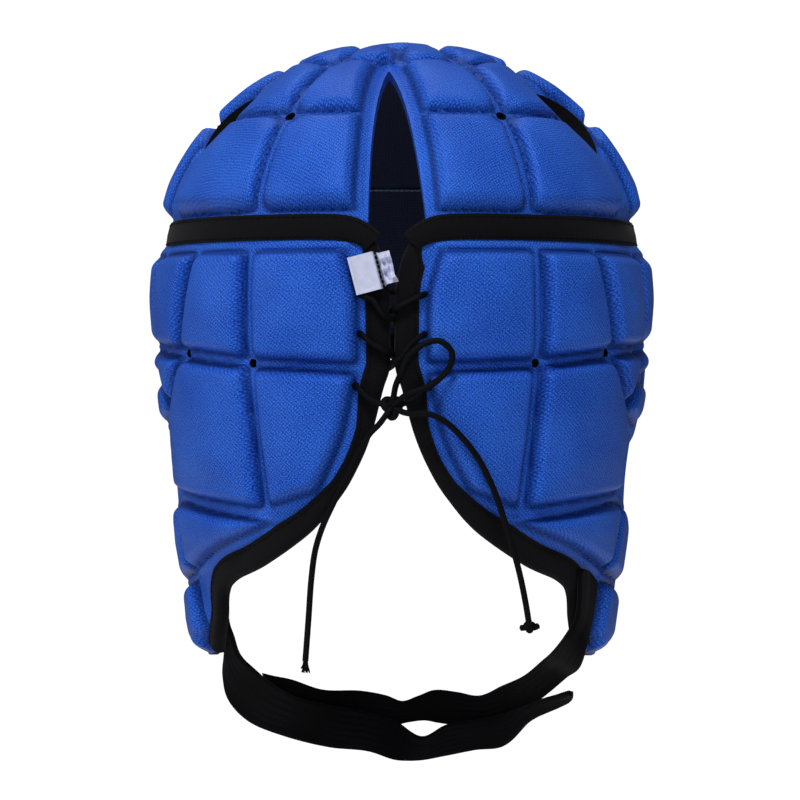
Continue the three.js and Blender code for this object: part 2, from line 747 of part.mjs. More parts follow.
const STRAP_STEPS = 22;
const LEFT_STRAP = [
  { upper: [-61.9, -39.4, -195], lower: [-66.9, -23.7, -195] },
  { upper: [-60.9, -38.1, -205], lower: [-65.7, -22.6, -205] },
  { upper: [-59.5, -34.5, -209.5], lower: [-63.8, -21, -214] },
  { upper: [-58, -27, -216.5], lower: [-66, -12, -225] },
  { upper: [-53.5, -15, -223], lower: [-65, -3, -234.5] },
  { upper: [-47, -2, -229.5], lower: [-58, 6, -243.5] },
  { upper: [-39, 12, -235], lower: [-45, 17, -250] },
  { upper: [-26.5, 26, -239], lower: [-28.5, 28, -255] },
  { upper: [-13.5, 33, -242], lower: [-14, 34, -257] },
  { upper: [-3.5, 36, -245.5], lower: [-3.5, 36.5, -260.5] },
  { upper: [6.5, 34, -251], lower: [5.5, 41, -261] },
  { upper: [15.5, 33, -246.5], lower: [15, 38, -259] },
  { upper: [28, 27, -244], lower: [27, 32, -256] },
  { upper: [41, 17, -240], lower: [37.5, 23, -254] },
  { upper: [50.5, 3, -235], lower: [47.5, 12, -244] },
  { upper: [59, -12, -231.5], lower: [57.5, -2, -238] },
  { upper: [63.5, -19, -230.5], lower: [64, -9, -233.5] },
];
const RIGHT_STRAP = [
  { upper: [-52, 3, -225.5], lower: [-50.5, 12, -236] },
  { upper: [-48.5, 8, -226.5], lower: [-44.5, 18.5, -240.5] },
  { upper: [-42, 17, -228.5], lower: [-36, 26.5, -243] },
  { upper: [-31, 28.5, -233], lower: [-25, 33, -245] },
  { upper: [-17.5, 37.5, -234], lower: [-11.5, 37, -246] },
  { upper: [-8, 41.5, -236], lower: [-3, 39.5, -247] },
  { upper: [-1.5, 44, -238.5], lower: [1.5, 40, -246] },
  { upper: [4.5, 44.5, -236.5], lower: [7, 40.5, -245.5] },
  { upper: [11, 42.5, -234], lower: [13, 39.5, -246.5] },
  { upper: [19.5, 39.5, -234.5], lower: [21.5, 36, -247] },
  { upper: [28, 34, -235.5], lower: [32.5, 30.5, -245.5] },
  { upper: [37, 23, -231], lower: [44.5, 18.5, -240.5] },
  { upper: [45.5, 7, -226], lower: [54.5, 2, -232.5] },
  { upper: [52, -11, -219.5], lower: [62, -13, -225] },
  { upper: [56.5, -33, -214], lower: [66.5, -32, -220] },
  { upper: [61.5, -48.5, -206.5], lower: [68.9, -40, -211.5] },
  { upper: [64.3, -51.1, -202], lower: [70.7, -37.6, -202.5] },
  { upper: [65.4, -51.7, -194], lower: [71.9, -37.4, -194] },
];

function ribbon(rows) {
  const [upper, lower] = ["upper", "lower"].map(
    (edge) => new THREE.CatmullRomCurve3(rows.map((row) => new THREE.Vector3(...row[edge]))),
  );
  const rings = [];
  for (let i = 0; i <= STRAP_STEPS; i++) {
    const share = i / STRAP_STEPS;
    const top = upper.getPoint(share);
    const bottom = lower.getPoint(share);
    const along = upper.getTangent(share).add(lower.getTangent(share));
    const out = along.cross(top.clone().sub(bottom)).setLength(STRAP_THICKNESS / 2);
    const [inner, outer] = [-1, 1].map((way) => [bottom, top].map((p) => p.clone().addScaledVector(out, way)));
    rings.push([inner[0], inner[1], outer[1], outer[0]]);
  }
  return sweep(rings);
}

addPiece("strap_right", ribbon(RIGHT_STRAP), BLACK);
addPiece("strap_left", ribbon(LEFT_STRAP), BLACK);

// Lace: up out of an eyelet, over its own binding, down the gap and under the other binding

const LACE_STRAND = [
  { x: 0, y: -92.2, z: -85 },
  { x: 6.5, y: -91.8, z: -85.5 },
  { x: 11.6, y: -91.4, z: -86 },
  { x: 12.8, y: -94, z: -86 },
  { x: 12.8, y: -98.4, z: -86.2 },
  { x: 11, y: -100.9, z: -86.8 },
  { x: 7, y: -101.4, z: -88.4 },
  { x: 2.9, y: -101.4, z: -90.2, inGap: true },
  { x: 0.2, y: -99.1, z: -91.4, inGap: true },
  { x: -0.2, y: -94.7, z: -92.6, inGap: true },
  { x: -2.9, y: -92.1, z: -93.8, inGap: true },
  { x: -7.5, y: -91.4, z: -96.4 },
  { x: -11.6, y: -91, z: -99.3 },
  { x: -12.7, y: -93.7, z: -100 },
  { x: -12.7, y: -97.9, z: -100.2 },
  { x: -10.6, y: -100.4, z: -101.2 },
  { x: -6.6, y: -100.6, z: -103.4 },
  { x: -2.8, y: -100.4, z: -105.4, inGap: true },
  { x: -0.2, y: -98, z: -106.6, inGap: true },
  { x: 0.2, y: -93.6, z: -107.8, inGap: true },
  { x: 2.9, y: -91, z: -109.2, inGap: true },
  { x: 8, y: -90, z: -113.4 },
  { x: 13.2, y: -89.2, z: -117.3 },
  { x: 14.5, y: -92, z: -118 },
  { x: 14.5, y: -96.4, z: -118.3 },
  { x: 12.4, y: -98.9, z: -119.4 },
  { x: 8.6, y: -99.4, z: -122 },
  { x: 4.8, y: -99.7, z: -124 },
];
const CROSSING_DROP = 3.2; // one strand passes the gap this far below the other
const KNOT = { x: 0, y: -99.7, z: -125.4, halfX: 4.4, halfY: 3.4, halfZ: 4.2 };
const LACE_LOOP = [
  { x: 0.7, y: -101.3, z: -121.2 },
  { x: 1.4, y: -102.8, z: -118 },
  { x: 3.6, y: -105.4, z: -113 },
  { x: 5.8, y: -106.4, z: -108 },
  { x: 11.3, y: -106.4, z: -103.5 },
  { x: 16.9, y: -106, z: -102.5 },
  { x: 21, y: -105, z: -106.3 },
  { x: 20, y: -104.8, z: -112 },
  { x: 13.4, y: -104.8, z: -118 },
  { x: 5.4, y: -104.3, z: -121 },
  { x: 2.8, y: -102.2, z: -122.9 },
];
const LACE_END_LEFT = [
  { x: -2.6, y: -101.1, z: -129 },
  { x: -4.4, y: -100.8, z: -131.4 },
  { x: -8, y: -98.2, z: -135 },
  { x: -11.4, y: -96, z: -140.5 },
  { x: -16, y: -94.2, z: -149.6 },
  { x: -20.7, y: -92, z: -158.8 },
  { x: -25, y: -89.8, z: -168 },
  { x: -27.5, y: -88.8, z: -176 },
  { x: -28.9, y: -88.4, z: -186 },
  { x: -29.9, y: -88.4, z: -200 },
  { x: -31, y: -88.6, z: -215 },
];
const LACE_END_RIGHT = [
  { x: 4, y: -101.3, z: -127.3 },
  { x: 7, y: -103, z: -127.8 },
  { x: 11.6, y: -103.8, z: -127.6 },
  { x: 17.8, y: -102.6, z: -130 },
  { x: 23.7, y: -100.6, z: -135.2 },
  { x: 30, y: -97.8, z: -143.3 },
  { x: 34.8, y: -94.6, z: -152.8 },
  { x: 38.6, y: -91.2, z: -163.4 },
  { x: 41.8, y: -87.8, z: -174 },
  { x: 44.6, y: -86.2, z: -184.6 },
  { x: 46.7, y: -85.6, z: -195 },
  { x: 48, y: -85.6, z: -203 },
];
const END_KNOT_RADIUS = 2.4;

// A smooth curve whose even steps fall on the chosen points themselves.
class Route extends THREE.CatmullRomCurve3 {
  getUtoTmapping(share) {
    return share;
  }
}

function laceTube(rows) {
  const route = new Route(rows.map((row) => new THREE.Vector3(row.x, row.y, row.z)));
  const round = new THREE.Shape();
  for (let i = 0; i < LACE_SIDES; i++) {
    const turn = (2 * Math.PI * i) / LACE_SIDES;
    const [x, y] = [LACE_RADIUS * Math.cos(turn), LACE_RADIUS * Math.sin(turn)];
    if (i === 0) round.moveTo(x, y);
    else round.lineTo(x, y);
  }
  const options = { steps: rows.length - 1, extrudePath: route, bevelEnabled: false };
  return solidFromGeometry(new THREE.ExtrudeGeometry(round, options));
}

const otherStrand = LACE_STRAND.slice(1).map((row) => ({
  x: -row.x,
  y: row.y,
  z: row.z - (row.inGap ? CROSSING_DROP : 0),
}));

function ball(row, halfX, halfY, halfZ) {
  const shape = new THREE.IcosahedronGeometry(1, 1);
  shape.scale(halfX, halfY, halfZ).translate(row.x, row.y, row.z);
  return solidFromGeometry(shape);
}

const endKnot = ball(LACE_END_RIGHT.at(-1), END_KNOT_RADIUS, END_KNOT_RADIUS, END_KNOT_RADIUS);
addPiece("lace_crossing", laceTube([...otherStrand.reverse(), ...LACE_STRAND]), BLACK);
addPiece("lace_knot", ball(KNOT, KNOT.halfX, KNOT.halfY, KNOT.halfZ), BLACK);
addPiece("lace_loop", laceTube(LACE_LOOP), BLACK);
addPiece("lace_end_left", laceTube(LACE_END_LEFT), BLACK);
addPiece("lace_end_right", laceTube(LACE_END_RIGHT).add(endKnot), BLACK);

// Care label: a bare white strip folded once, sewn to the left edge of the gap

const LABEL_HEIGHT = 14;
const LABEL_THICKNESS = 0.8;
const LABEL_PLACE = { x: -3.7, y: -102.7, z: -84 };
const LABEL_LEAF = 10; // flat leaf, over the binding
const LABEL_FOLD = 5; // second leaf, folded out across the gap
const LABEL_FOLD_DROP = 1.9; // how far the second leaf's edge comes forward
const LABEL_FOLD_EASE = 0.25; // keeps the leaves equally thick round the fold
const LABEL_TURN = -4.5; // degrees, to lie along the curve of the head
const LABEL_TILT = -14.5;

function careLabel() {
  const section = new THREE.Shape();
  section.moveTo(-LABEL_LEAF, 0);
  section.lineTo(0, 0);
  section.lineTo(LABEL_FOLD, -LABEL_FOLD_DROP);
  section.lineTo(LABEL_FOLD - LABEL_FOLD_EASE, -LABEL_FOLD_DROP - LABEL_THICKNESS);
  section.lineTo(-LABEL_FOLD_EASE, -LABEL_THICKNESS);
  section.lineTo(-LABEL_LEAF, -LABEL_THICKNESS);
  section.closePath();
  return new THREE.ExtrudeGeometry(section, { depth: LABEL_HEIGHT, bevelEnabled: false });
}

const label = new THREE.Mesh(careLabel(), new THREE.MeshStandardMaterial(WHITE));
label.name = "care_label";
label.position.set(LABEL_PLACE.x, LABEL_PLACE.y, LABEL_PLACE.z);
label.rotation.set(0, rad(LABEL_TILT), rad(LABEL_TURN));
group.add(label);

export default group;
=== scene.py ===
# %% [markdown]
# A padded scrum cap, the soft headgear of rugby players, seen from behind. The real one is foam that is
# heat-moulded between a shiny knit and a dark lining, cut into panels, bound with black tape, laced at
# the back and closed under the chin. This lesson dresses a fixed frame: every piece is made in
# millimetres in the frame's own axes (+Z up, face towards +Y, wearer's right towards +X) and then stored
# in metres, so nothing has to be fitted afterwards.

# %% Load the frame
import math

import bpy
import numpy as np
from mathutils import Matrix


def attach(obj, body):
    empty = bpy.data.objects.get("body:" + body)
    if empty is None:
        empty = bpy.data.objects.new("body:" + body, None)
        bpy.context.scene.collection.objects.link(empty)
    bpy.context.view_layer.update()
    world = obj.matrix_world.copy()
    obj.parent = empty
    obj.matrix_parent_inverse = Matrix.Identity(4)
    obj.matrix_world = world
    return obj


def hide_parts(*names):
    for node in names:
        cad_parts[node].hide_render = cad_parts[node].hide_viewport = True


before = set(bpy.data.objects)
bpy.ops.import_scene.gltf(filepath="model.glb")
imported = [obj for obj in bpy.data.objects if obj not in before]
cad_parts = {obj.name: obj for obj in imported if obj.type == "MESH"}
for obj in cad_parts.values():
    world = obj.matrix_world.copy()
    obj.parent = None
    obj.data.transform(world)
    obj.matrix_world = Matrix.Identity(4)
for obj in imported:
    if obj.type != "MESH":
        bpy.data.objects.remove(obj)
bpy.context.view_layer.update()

MM = 0.001

# %% [markdown]
# The photograph is a product shot: a long lens straight at the back of the cap, on white. A real camera
# that far away flattens depth, so the lens here is long too. It could be framed by eye, but two known
# sizes (the cap's width and its height in the picture) give the distance and the lens directly.

# %% Camera
CAMERA_DISTANCE = 1.6
CAMERA_TURN = math.radians(2)
CAMERA_LEVEL = -0.123
CAMERA_LENS = 193
CAMERA_SHIFT = -0.0025

camera = bpy.data.objects.new("camera", bpy.data.cameras.new("camera"))
camera.data.lens = CAMERA_LENS
camera.data.shift_x = CAMERA_SHIFT
camera.location = (
    CAMERA_DISTANCE * math.sin(CAMERA_TURN),
    -CAMERA_DISTANCE * math.cos(CAMERA_TURN),
    CAMERA_LEVEL,
)
camera.rotation_euler = (math.pi / 2, 0, CAMERA_TURN)
bpy.context.scene.collection.objects.link(camera)
bpy.context.scene.camera = camera
bpy.context.scene.view_settings.view_transform = "Standard"
print("camera at", tuple(round(x, 3) for x in camera.location))

# %% [markdown]
# Studio light on the real shoot: big soft sources above the camera and to its left, and white all
# round. Small lamps would give hard shadows between the pads; large area lights and a white world give
# the soft shading that makes the pads look like foam.

# %% Lights and world
WORLD_LIGHT = 0.08
WORLD_SEEN = 1.05
SOFT_BOXES = {
    "key": {"place": (-0.1, -1.25, 1.4), "size": 0.45, "watts": 19.5},
    "left": {"place": (-1.7, -0.5, 0.3), "size": 0.7, "watts": 6.5},
    "fill": {"place": (0.3, -1.7, 0.4), "size": 0.6, "watts": 4},
    "top": {"place": (-0.2, 0.3, 1.5), "size": 1.0, "watts": 6},
}
LIGHT_AIM = (0, 0, -0.1)


def soft_box(name, place, size, watts):
    light = bpy.data.objects.new(name, bpy.data.lights.new(name, "AREA"))
    light.data.size = size
    light.data.energy = watts
    light.location = place
    toward = np.subtract(LIGHT_AIM, place)
    flat = math.hypot(toward[0], toward[1])
    light.rotation_euler = (
        math.pi / 2 + math.atan2(toward[2], flat),
        0,
        math.atan2(-toward[0], toward[1]),
    )
    bpy.context.scene.collection.objects.link(light)


for name, row in SOFT_BOXES.items():
    soft_box(name, **row)
world = bpy.data.worlds.new("white studio")
bpy.context.scene.world = world
world.use_nodes = True
backdrop = world.node_tree.nodes["Background"]
backdrop.inputs["Color"].default_value = (1, 1, 1, 1)
seen = world.node_tree.nodes.new("ShaderNodeLightPath").outputs["Is Camera Ray"]
strength = world.node_tree.nodes.new("ShaderNodeMath")
strength.operation = "MULTIPLY_ADD"
strength.inputs[1].default_value = WORLD_SEEN - WORLD_LIGHT
strength.inputs[2].default_value = WORLD_LIGHT
world.node_tree.links.new(seen, strength.inputs[0])
world.node_tree.links.new(strength.outputs[0], backdrop.inputs["Strength"])
print(len(SOFT_BOXES), "soft boxes")

# %% [markdown]
# Materials are small node trees. One helper adds a node with its settings and links; colours are written
# as the hex values a designer would pick and turned to the linear values that the renderer needs. Every
# pattern is scaled from a size in millimetres, because the cloth maps below are laid out in millimetres.

# %% Material helpers
MIX_FACTOR, MIX_DARK, MIX_LIGHT, MIX_RESULT = 0, 6, 7, 2
COLOUR_MIX = {"data_type": "RGBA", "clamp_factor": True}
MULTIPLY, SCALE_AND_ADD, ADD = ({"operation": word} for word in ("MULTIPLY", "MULTIPLY_ADD", "ADD"))
WAVE_TEXTURE_FACTOR = 20
BUMP_DISTANCE = 0.2 * MM


def linear(hex_colour):
    parts = [int(hex_colour[i : i + 2], 16) / 255 for i in (1, 3, 5)]
    return [p / 12.92 if p <= 0.04045 else ((p + 0.055) / 1.055) ** 2.4 for p in parts] + [1]


def set_inputs(tree, node, values):
    for name, value in values.items():
        if isinstance(value, bpy.types.NodeSocket):
            tree.links.new(value, node.inputs[name])
        else:
            node.inputs[name].default_value = value


def add_node(tree, kind, settings=None, inputs=None, out=0):
    """Adds a node with its settings and links, and gives the output that is asked for."""
    node = tree.nodes.new(kind)
    for name, value in (settings or {}).items():
        setattr(node, name, value)
    set_inputs(tree, node, inputs or {})
    return node.outputs[out] if len(node.outputs) else None


def new_material(name):
    material = bpy.data.materials.new(name)
    material.use_nodes = True
    tree = material.node_tree
    return material, tree, tree.nodes["Principled BSDF"]


def wave_scale(pitch):
    """Scale that gives a wave texture one band for each pitch of its coordinates."""
    return 2 * math.pi / (WAVE_TEXTURE_FACTOR * pitch)


print("helpers ready")

# %% [markdown]
# The cover is polyester warp knit, laminated to the foam before moulding: royal blue, shiny, with slanting
# ribs that are broken into rows of bright loops. A flat blue would look like plastic, so two crossing
# waves make the rows of loops, a noise makes some loops brighter than others, and both show in the colour
# and the bump. Real loops are about half a millimetre, too fine for this picture, so they are drawn about
# twice as coarse. The shine of dyed yarn keeps its colour, so the highlight is tinted blue. The hot mould
# presses the knit hardest along the foot of each pad, and the colour is darkened there. Part of that is the
# pressed knit, and part is painted shade in the creases between pads. Each vertex of a panel stores its
# distance from that line, and the material reads it.

# %% Blue knit
RIB_PITCH = 0.9
LOOP_PITCH = 1.1
SPECK_SIZE = 0.45
SHADE_SIZE = 26
RIB_TURN = math.radians(42)
KNIT_TONE = 0.42
KNIT_SHARES = {"loops": (0.6, 0.3), "specks": (3.0, 0.5), "shade": (0.5, 0.5)}
SPECK_RELIEF = 0.8
# Width and strength of the darkening at the foot of each pad: partly pressed knit, partly painted shade in
# the creases.
PRESSED_AND_SHADED_WIDTH = 1.7
PRESSED_AND_SHADED_SHARE = 0.75


def knit_pattern(tree):
    """Bright loops in rows, specks of bright yarn and broad shading, each from 0 to 1."""
    cloth = add_node(tree, "ShaderNodeUVMap", {"uv_map": "cloth"})
    turned = add_node(tree, "ShaderNodeMapping", inputs={"Vector": cloth, "Rotation": (0, 0, RIB_TURN)})
    waves = []
    for direction, pitch in (("X", RIB_PITCH), ("Y", LOOP_PITCH)):
        wave = {"Vector": turned, "Scale": wave_scale(pitch)}
        wave.update({"Distortion": 4.0, "Detail": 2, "Detail Scale": 0.9})
        waves.append(add_node(tree, "ShaderNodeTexWave", {"bands_direction": direction}, wave, "Fac"))
    fine = {"Vector": cloth, "Scale": 1 / SPECK_SIZE, "Detail": 2, "Roughness": 0.7}
    broad = {"Vector": cloth, "Scale": 1 / SHADE_SIZE, "Detail": 2}
    return {
        "loops": add_node(tree, "ShaderNodeMath", MULTIPLY, {0: waves[0], 1: waves[1]}),
        "specks": add_node(tree, "ShaderNodeTexNoise", inputs=fine, out="Fac"),
        "shade": add_node(tree, "ShaderNodeTexNoise", inputs=broad, out="Fac"),
    }


def blue_knit():
    material, tree, shader = new_material("polyester warp knit, royal blue")
    pattern = knit_pattern(tree)
    tone = KNIT_TONE
    for name, (share, middle) in KNIT_SHARES.items():
        factors = {0: pattern[name], 1: share, 2: -share * middle}
        centred = add_node(tree, "ShaderNodeMath", SCALE_AND_ADD, factors)
        tone = add_node(tree, "ShaderNodeMath", ADD, {0: centred, 1: tone})
    tones = {MIX_FACTOR: tone, MIX_DARK: linear("#08319f"), MIX_LIGHT: linear("#4386ff")}
    loose = add_node(tree, "ShaderNodeMix", COLOUR_MIX, tones, MIX_RESULT)
    # Near the foot of each pad the knit is mixed towards a deep navy. Part of this is the darker pressed
    # knit, and part is painted shade in the creases.
    foot = add_node(tree, "ShaderNodeAttribute", {"attribute_name": "edge"}, out="Fac")
    pressed_and_shaded = add_node(
        tree,
        "ShaderNodeMapRange",
        {"interpolation_type": "SMOOTHSTEP"},
        {"Value": foot, "From Max": PRESSED_AND_SHADED_WIDTH, "To Min": PRESSED_AND_SHADED_SHARE, "To Max": 0},
    )
    tones = {MIX_FACTOR: pressed_and_shaded, MIX_DARK: loose, MIX_LIGHT: linear("#051a5c")}
    colour = add_node(tree, "ShaderNodeMix", COLOUR_MIX, tones, MIX_RESULT)
    heights = {0: pattern["specks"], 1: SPECK_RELIEF, 2: pattern["loops"]}
    relief = add_node(tree, "ShaderNodeMath", SCALE_AND_ADD, heights)
    bump = {"Strength": 0.5, "Distance": BUMP_DISTANCE, "Height": relief}
    looks = {
        "Base Color": colour,
        "Roughness": 0.4,
        "Specular IOR Level": 0.55,
        "Specular Tint": linear("#5c8fff"),
        "Sheen Weight": 0.06,
        "Sheen Roughness": 0.4,
        "Sheen Tint": linear("#7fa8ff"),
        "Normal": add_node(tree, "ShaderNodeBump", inputs=bump),
    }
    set_inputs(tree, shader, looks)
    return material


KNIT = blue_knit()
print("made", KNIT.name)

# %% [markdown]
# The other fabrics share one recipe: two close tones mixed by a weave and a grain, with a bump from the
# same pattern. The lining is brushed jersey, so dark that it reads as shadow in the gap. The binding is
# matte stretch tape with a fine rib across it. The strap is brushed loop fabric, dull and fuzzy, with
# faint streaks along it. The lace is braided elastic, whose crossing threads make a small diamond
# pattern. The label is satin, with soft highlights. The thread is twisted polyester: black on the tapes,
# dull blue in the lining's seam. Each pitch and grain is a size in millimetres.

# %% Dark and white fabrics
FABRICS = {
    "lining": {
        "name": "brushed jersey lining, black navy",
        "tones": ("#22263f", "#3a4065"),
        "pitch": (1.2, 1.2),
        "grain": 0.9,
        "bump": 0.2,
        "shader": {"Roughness": 0.95, "Sheen Weight": 0.1, "Specular IOR Level": 0.2},
    },
    "tape": {
        "name": "stretch binding tape, matte black",
        "tones": ("#050507", "#0d0d12"),
        "pitch": (30.0, 1.0),
        "grain": 0.6,
        "bump": 0.3,
        "shader": {"Roughness": 0.85, "Sheen Weight": 0.04, "Specular IOR Level": 0.12},
    },
    "strap": {
        "name": "brushed loop fabric, black",
        "tones": ("#050507", "#0e0e12"),
        "pitch": (2.4, 40.0),
        "grain": 0.8,
        "bump": 0.5,
        "shader": {"Roughness": 0.95, "Sheen Weight": 0.04, "Specular IOR Level": 0.06},
    },
    "lace": {
        "name": "braided elastic cord, black",
        "tones": ("#030305", "#0b0c12"),
        "pitch": (1.15, 1.15),
        "grain": 0.7,
        "bump": 0.6,
        "shader": {"Roughness": 0.65, "Specular IOR Level": 0.1},
    },
    "satin": {
        "name": "satin ribbon, white",
        "tones": ("#c4caec", "#e6ebff"),
        "pitch": (0.4, 0.4),
        "grain": 2.5,
        "bump": 0.08,
        "shader": {"Roughness": 0.45, "Sheen Weight": 0.2, "Specular IOR Level": 0.4},
    },
    "thread": {
        "name": "twisted polyester thread, black",
        "tones": ("#060608", "#121216"),
        "pitch": (0.5, 0.5),
        "grain": 0.4,
        "bump": 0.3,
        "shader": {"Roughness": 0.8, "Specular IOR Level": 0.1},
    },
    "seam": {
        "name": "twisted polyester thread, dull blue",
        "tones": ("#55728c", "#7f9fb8"),
        "pitch": (0.5, 0.5),
        "grain": 0.4,
        "bump": 0.2,
        "shader": {"Roughness": 0.7, "Specular IOR Level": 0.3},
    },
}
WEAVE_SHARE = 0.6
TONE_CONTRAST = 1.2
TONE_SHIFT = -0.35


def fabric(name, tones, pitch, grain, bump, shader):
    material, tree, principled = new_material(name)
    cloth = add_node(tree, "ShaderNodeUVMap", {"uv_map": "cloth"})
    threads = []
    for direction, size in zip(("X", "Y"), pitch):
        wave = {"Vector": cloth, "Scale": wave_scale(size), "Distortion": 1.0, "Detail": 1}
        threads.append(add_node(tree, "ShaderNodeTexWave", {"bands_direction": direction}, wave, "Fac"))
    weave = add_node(tree, "ShaderNodeMath", MULTIPLY, {0: threads[0], 1: threads[1]})
    noise = {"Vector": cloth, "Scale": 1 / grain, "Detail": 3}
    specks = add_node(tree, "ShaderNodeTexNoise", inputs=noise, out="Fac")
    mixed = add_node(tree, "ShaderNodeMath", SCALE_AND_ADD, {0: weave, 1: WEAVE_SHARE, 2: specks})
    tone = add_node(tree, "ShaderNodeMath", SCALE_AND_ADD, {0: mixed, 1: TONE_CONTRAST, 2: TONE_SHIFT})
    mix = {MIX_FACTOR: tone, MIX_DARK: linear(tones[0]), MIX_LIGHT: linear(tones[1])}
    colour = add_node(tree, "ShaderNodeMix", COLOUR_MIX, mix, MIX_RESULT)
    relief = {"Strength": bump, "Distance": BUMP_DISTANCE, "Height": mixed}
    normal = add_node(tree, "ShaderNodeBump", inputs=relief)
    set_inputs(tree, principled, {"Base Color": colour, "Normal": normal, **shader})
    return material


CLOTH = {key: fabric(**row) for key, row in FABRICS.items()}
print("made", len(CLOTH), "fabrics")

# %% [markdown]
# Meshes are made from numpy arrays, because the pieces are rules rather than sketches. One function turns
# points, faces and a flat cloth map into an object at the origin, with its place in its mesh.

# %% Mesh helper
SHARP_ANGLE = math.radians(55)


def lay_cloth(mesh, cloth):
    """Stores a flat map in millimetres, one row for each vertex, as the UV map that the fabrics read."""
    corner = np.empty(len(mesh.loops), np.int32)
    mesh.loops.foreach_get("vertex_index", corner)
    layer = mesh.uv_layers.new(name="cloth")
    layer.data.foreach_set("uv", np.asarray(cloth, np.float32)[corner].ravel())


def show(name, mesh):
    """Smooths a mesh and puts it in the scene as an object at the origin."""
    mesh.polygons.foreach_set("use_smooth", np.ones(len(mesh.polygons), bool))
    piece = bpy.data.objects.new(name, mesh)
    bpy.context.scene.collection.objects.link(piece)
    print(name, len(mesh.vertices), "vertices", len(mesh.polygons), "faces")
    return piece


def make_piece(name, points, faces, cloth, materials, face_slots=None, edge=None):
    """points and cloth are in millimetres; edge is each vertex's distance from the foot of a pad."""
    mesh = bpy.data.meshes.new(name)
    mesh.from_pydata((np.asarray(points) * MM).tolist(), [], faces)
    for material in materials:
        mesh.materials.append(material)
    lay_cloth(mesh, cloth)
    if face_slots is not None:
        mesh.polygons.foreach_set("material_index", np.asarray(face_slots, np.int32))
    if edge is not None:
        layer = mesh.attributes.new("edge", "FLOAT", "POINT")
        layer.data.foreach_set("value", np.asarray(edge, np.float32))
    piece = show(name, mesh)
    mesh.update()
    mesh.set_sharp_from_angle(angle=SHARP_ANGLE)
    return piece


def dress(piece, nodes):
    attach(piece, "root")
    if nodes:
        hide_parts(*nodes)
    return piece


print("pieces are stored in metres, 1 mm is", MM)

# %% [markdown]
# The lace comes first, because its free ends hang where the frame says. The real one is 2.2 mm round
# elastic: it crosses the back gap twice through three pairs of eyelets and is tied in a half bow. A
# bevelled curve would do, but a tube swept along the points gives the braid a map that runs round and
# along the cord.

# %% Smooth routes
ROUTE_STEPS = 6


def catmull(points, steps, alpha=0.25):
    """A smooth centripetal curve through the points, with even steps in each span."""
    p = np.asarray(points, float)
    p = np.vstack([2 * p[0] - p[1], p, 2 * p[-1] - p[-2]])
    made = []
    for i in range(1, len(p) - 2):
        p0, p1, p2, p3 = p[i - 1 : i + 3]
        d0, d1, d2 = (np.sum((b - a) ** 2) ** alpha for a, b in ((p0, p1), (p1, p2), (p2, p3)))
        m1 = ((p1 - p0) / d0 - (p2 - p0) / (d0 + d1) + (p2 - p1) / d1) * d1
        m2 = ((p2 - p1) / d1 - (p3 - p1) / (d1 + d2) + (p3 - p2) / d2) * d1
        t = (np.arange(steps) / steps)[:, None]
        made.append(
            (2 * t**3 - 3 * t**2 + 1) * p1
            + (t**3 - 2 * t**2 + t) * m1
            + (3 * t**2 - 2 * t**3) * p2
            + (t**3 - t**2) * m2
        )
    return np.vstack(made + [p[-2:-1]])


def unit(vectors):
    return vectors / np.linalg.norm(vectors, axis=-1, keepdims=True)


def path_lengths(path):
    steps = np.linalg.norm(np.diff(path, axis=0), axis=1)
    return np.concatenate([[0], np.cumsum(steps)])


print("each span of a route gets", ROUTE_STEPS, "steps")

# %% Tubes and swept solids
FIRST_SIDE = (0.31, 0.59, 0.74)


def ring_faces(count, around):
    """Quads between neighbours in a row of rings of points."""
    faces = []
    for i in range(count - 1):
        for k in range(around):
            n = (k + 1) % around
            faces.append((i * around + k, i * around + n, (i + 1) * around + n, (i + 1) * around + k))
    return faces


def tube_parts(path, radius, sides):
    """Points, faces and cloth map of a round cord along a path, with domed ends."""
    along = unit(np.gradient(path, axis=0))
    across = np.cross(along[0], FIRST_SIDE)
    turn = 2 * np.pi * np.arange(sides) / sides
    rings = []
    for point, direction in zip(path, along):
        across = unit(across - direction * np.dot(across, direction))
        up = np.cross(direction, across)
        rings.append(point + radius * (np.cos(turn)[:, None] * across + np.sin(turn)[:, None] * up))
    points = np.vstack(rings + [path[:1] - along[:1] * radius / 2, path[-1:] + along[-1:] * radius / 2])
    faces = ring_faces(len(path), sides)
    first, last = len(points) - 2, len(points) - 1
    top = (len(path) - 1) * sides
    for k in range(sides):
        n = (k + 1) % sides
        faces += [(first, n, k), (last, top + k, top + n)]
    length = path_lengths(path)
    round_map = np.tile(turn * radius, len(path))
    long_map = np.repeat(length, sides)
    cloth = np.stack([round_map + long_map, long_map - round_map], axis=1)
    return points, faces, np.vstack([cloth, [[0, 0], [length[-1], length[-1]]]])


def swept_parts(rings):
    """Points, faces and cloth map of closed sections joined into one solid with flat ends."""
    rings = np.asarray(rings)
    count, around = rings.shape[:2]
    points = rings.reshape(-1, 3)
    faces = ring_faces(count, around)
    faces.append(tuple(range(around))[::-1])
    faces.append(tuple((count - 1) * around + k for k in range(around)))
    across = path_lengths(rings[count // 2])
    length = path_lengths(rings[:, 0])
    cloth = np.stack([np.tile(across, count), np.repeat(length, around)], axis=1)
    if signed_volume(points, faces) < 0:
        faces = [face[::-1] for face in faces]
    return points, faces, cloth


def signed_volume(points, faces):
    total = 0.0
    for face in faces:
        a = points[face[0]]
        for i in range(1, len(face) - 1):
            total += np.dot(a, np.cross(points[face[i]], points[face[i + 1]]))
    return total / 6


def join_parts(parts):
    points, faces, cloth, start = [], [], [], 0
    for some_points, some_faces, some_cloth in parts:
        points.append(some_points)
        cloth.append(some_cloth)
        faces += [tuple(i + start for i in face) for face in some_faces]
        start += len(some_points)
    return np.vstack(points), faces, np.vstack(cloth)


print("tubes and swept solids ready")

# %% Lace strands in the gap
LACE_RADIUS = 1.1
LACE_SIDES = 12
CROSSING_DROP = 3.2
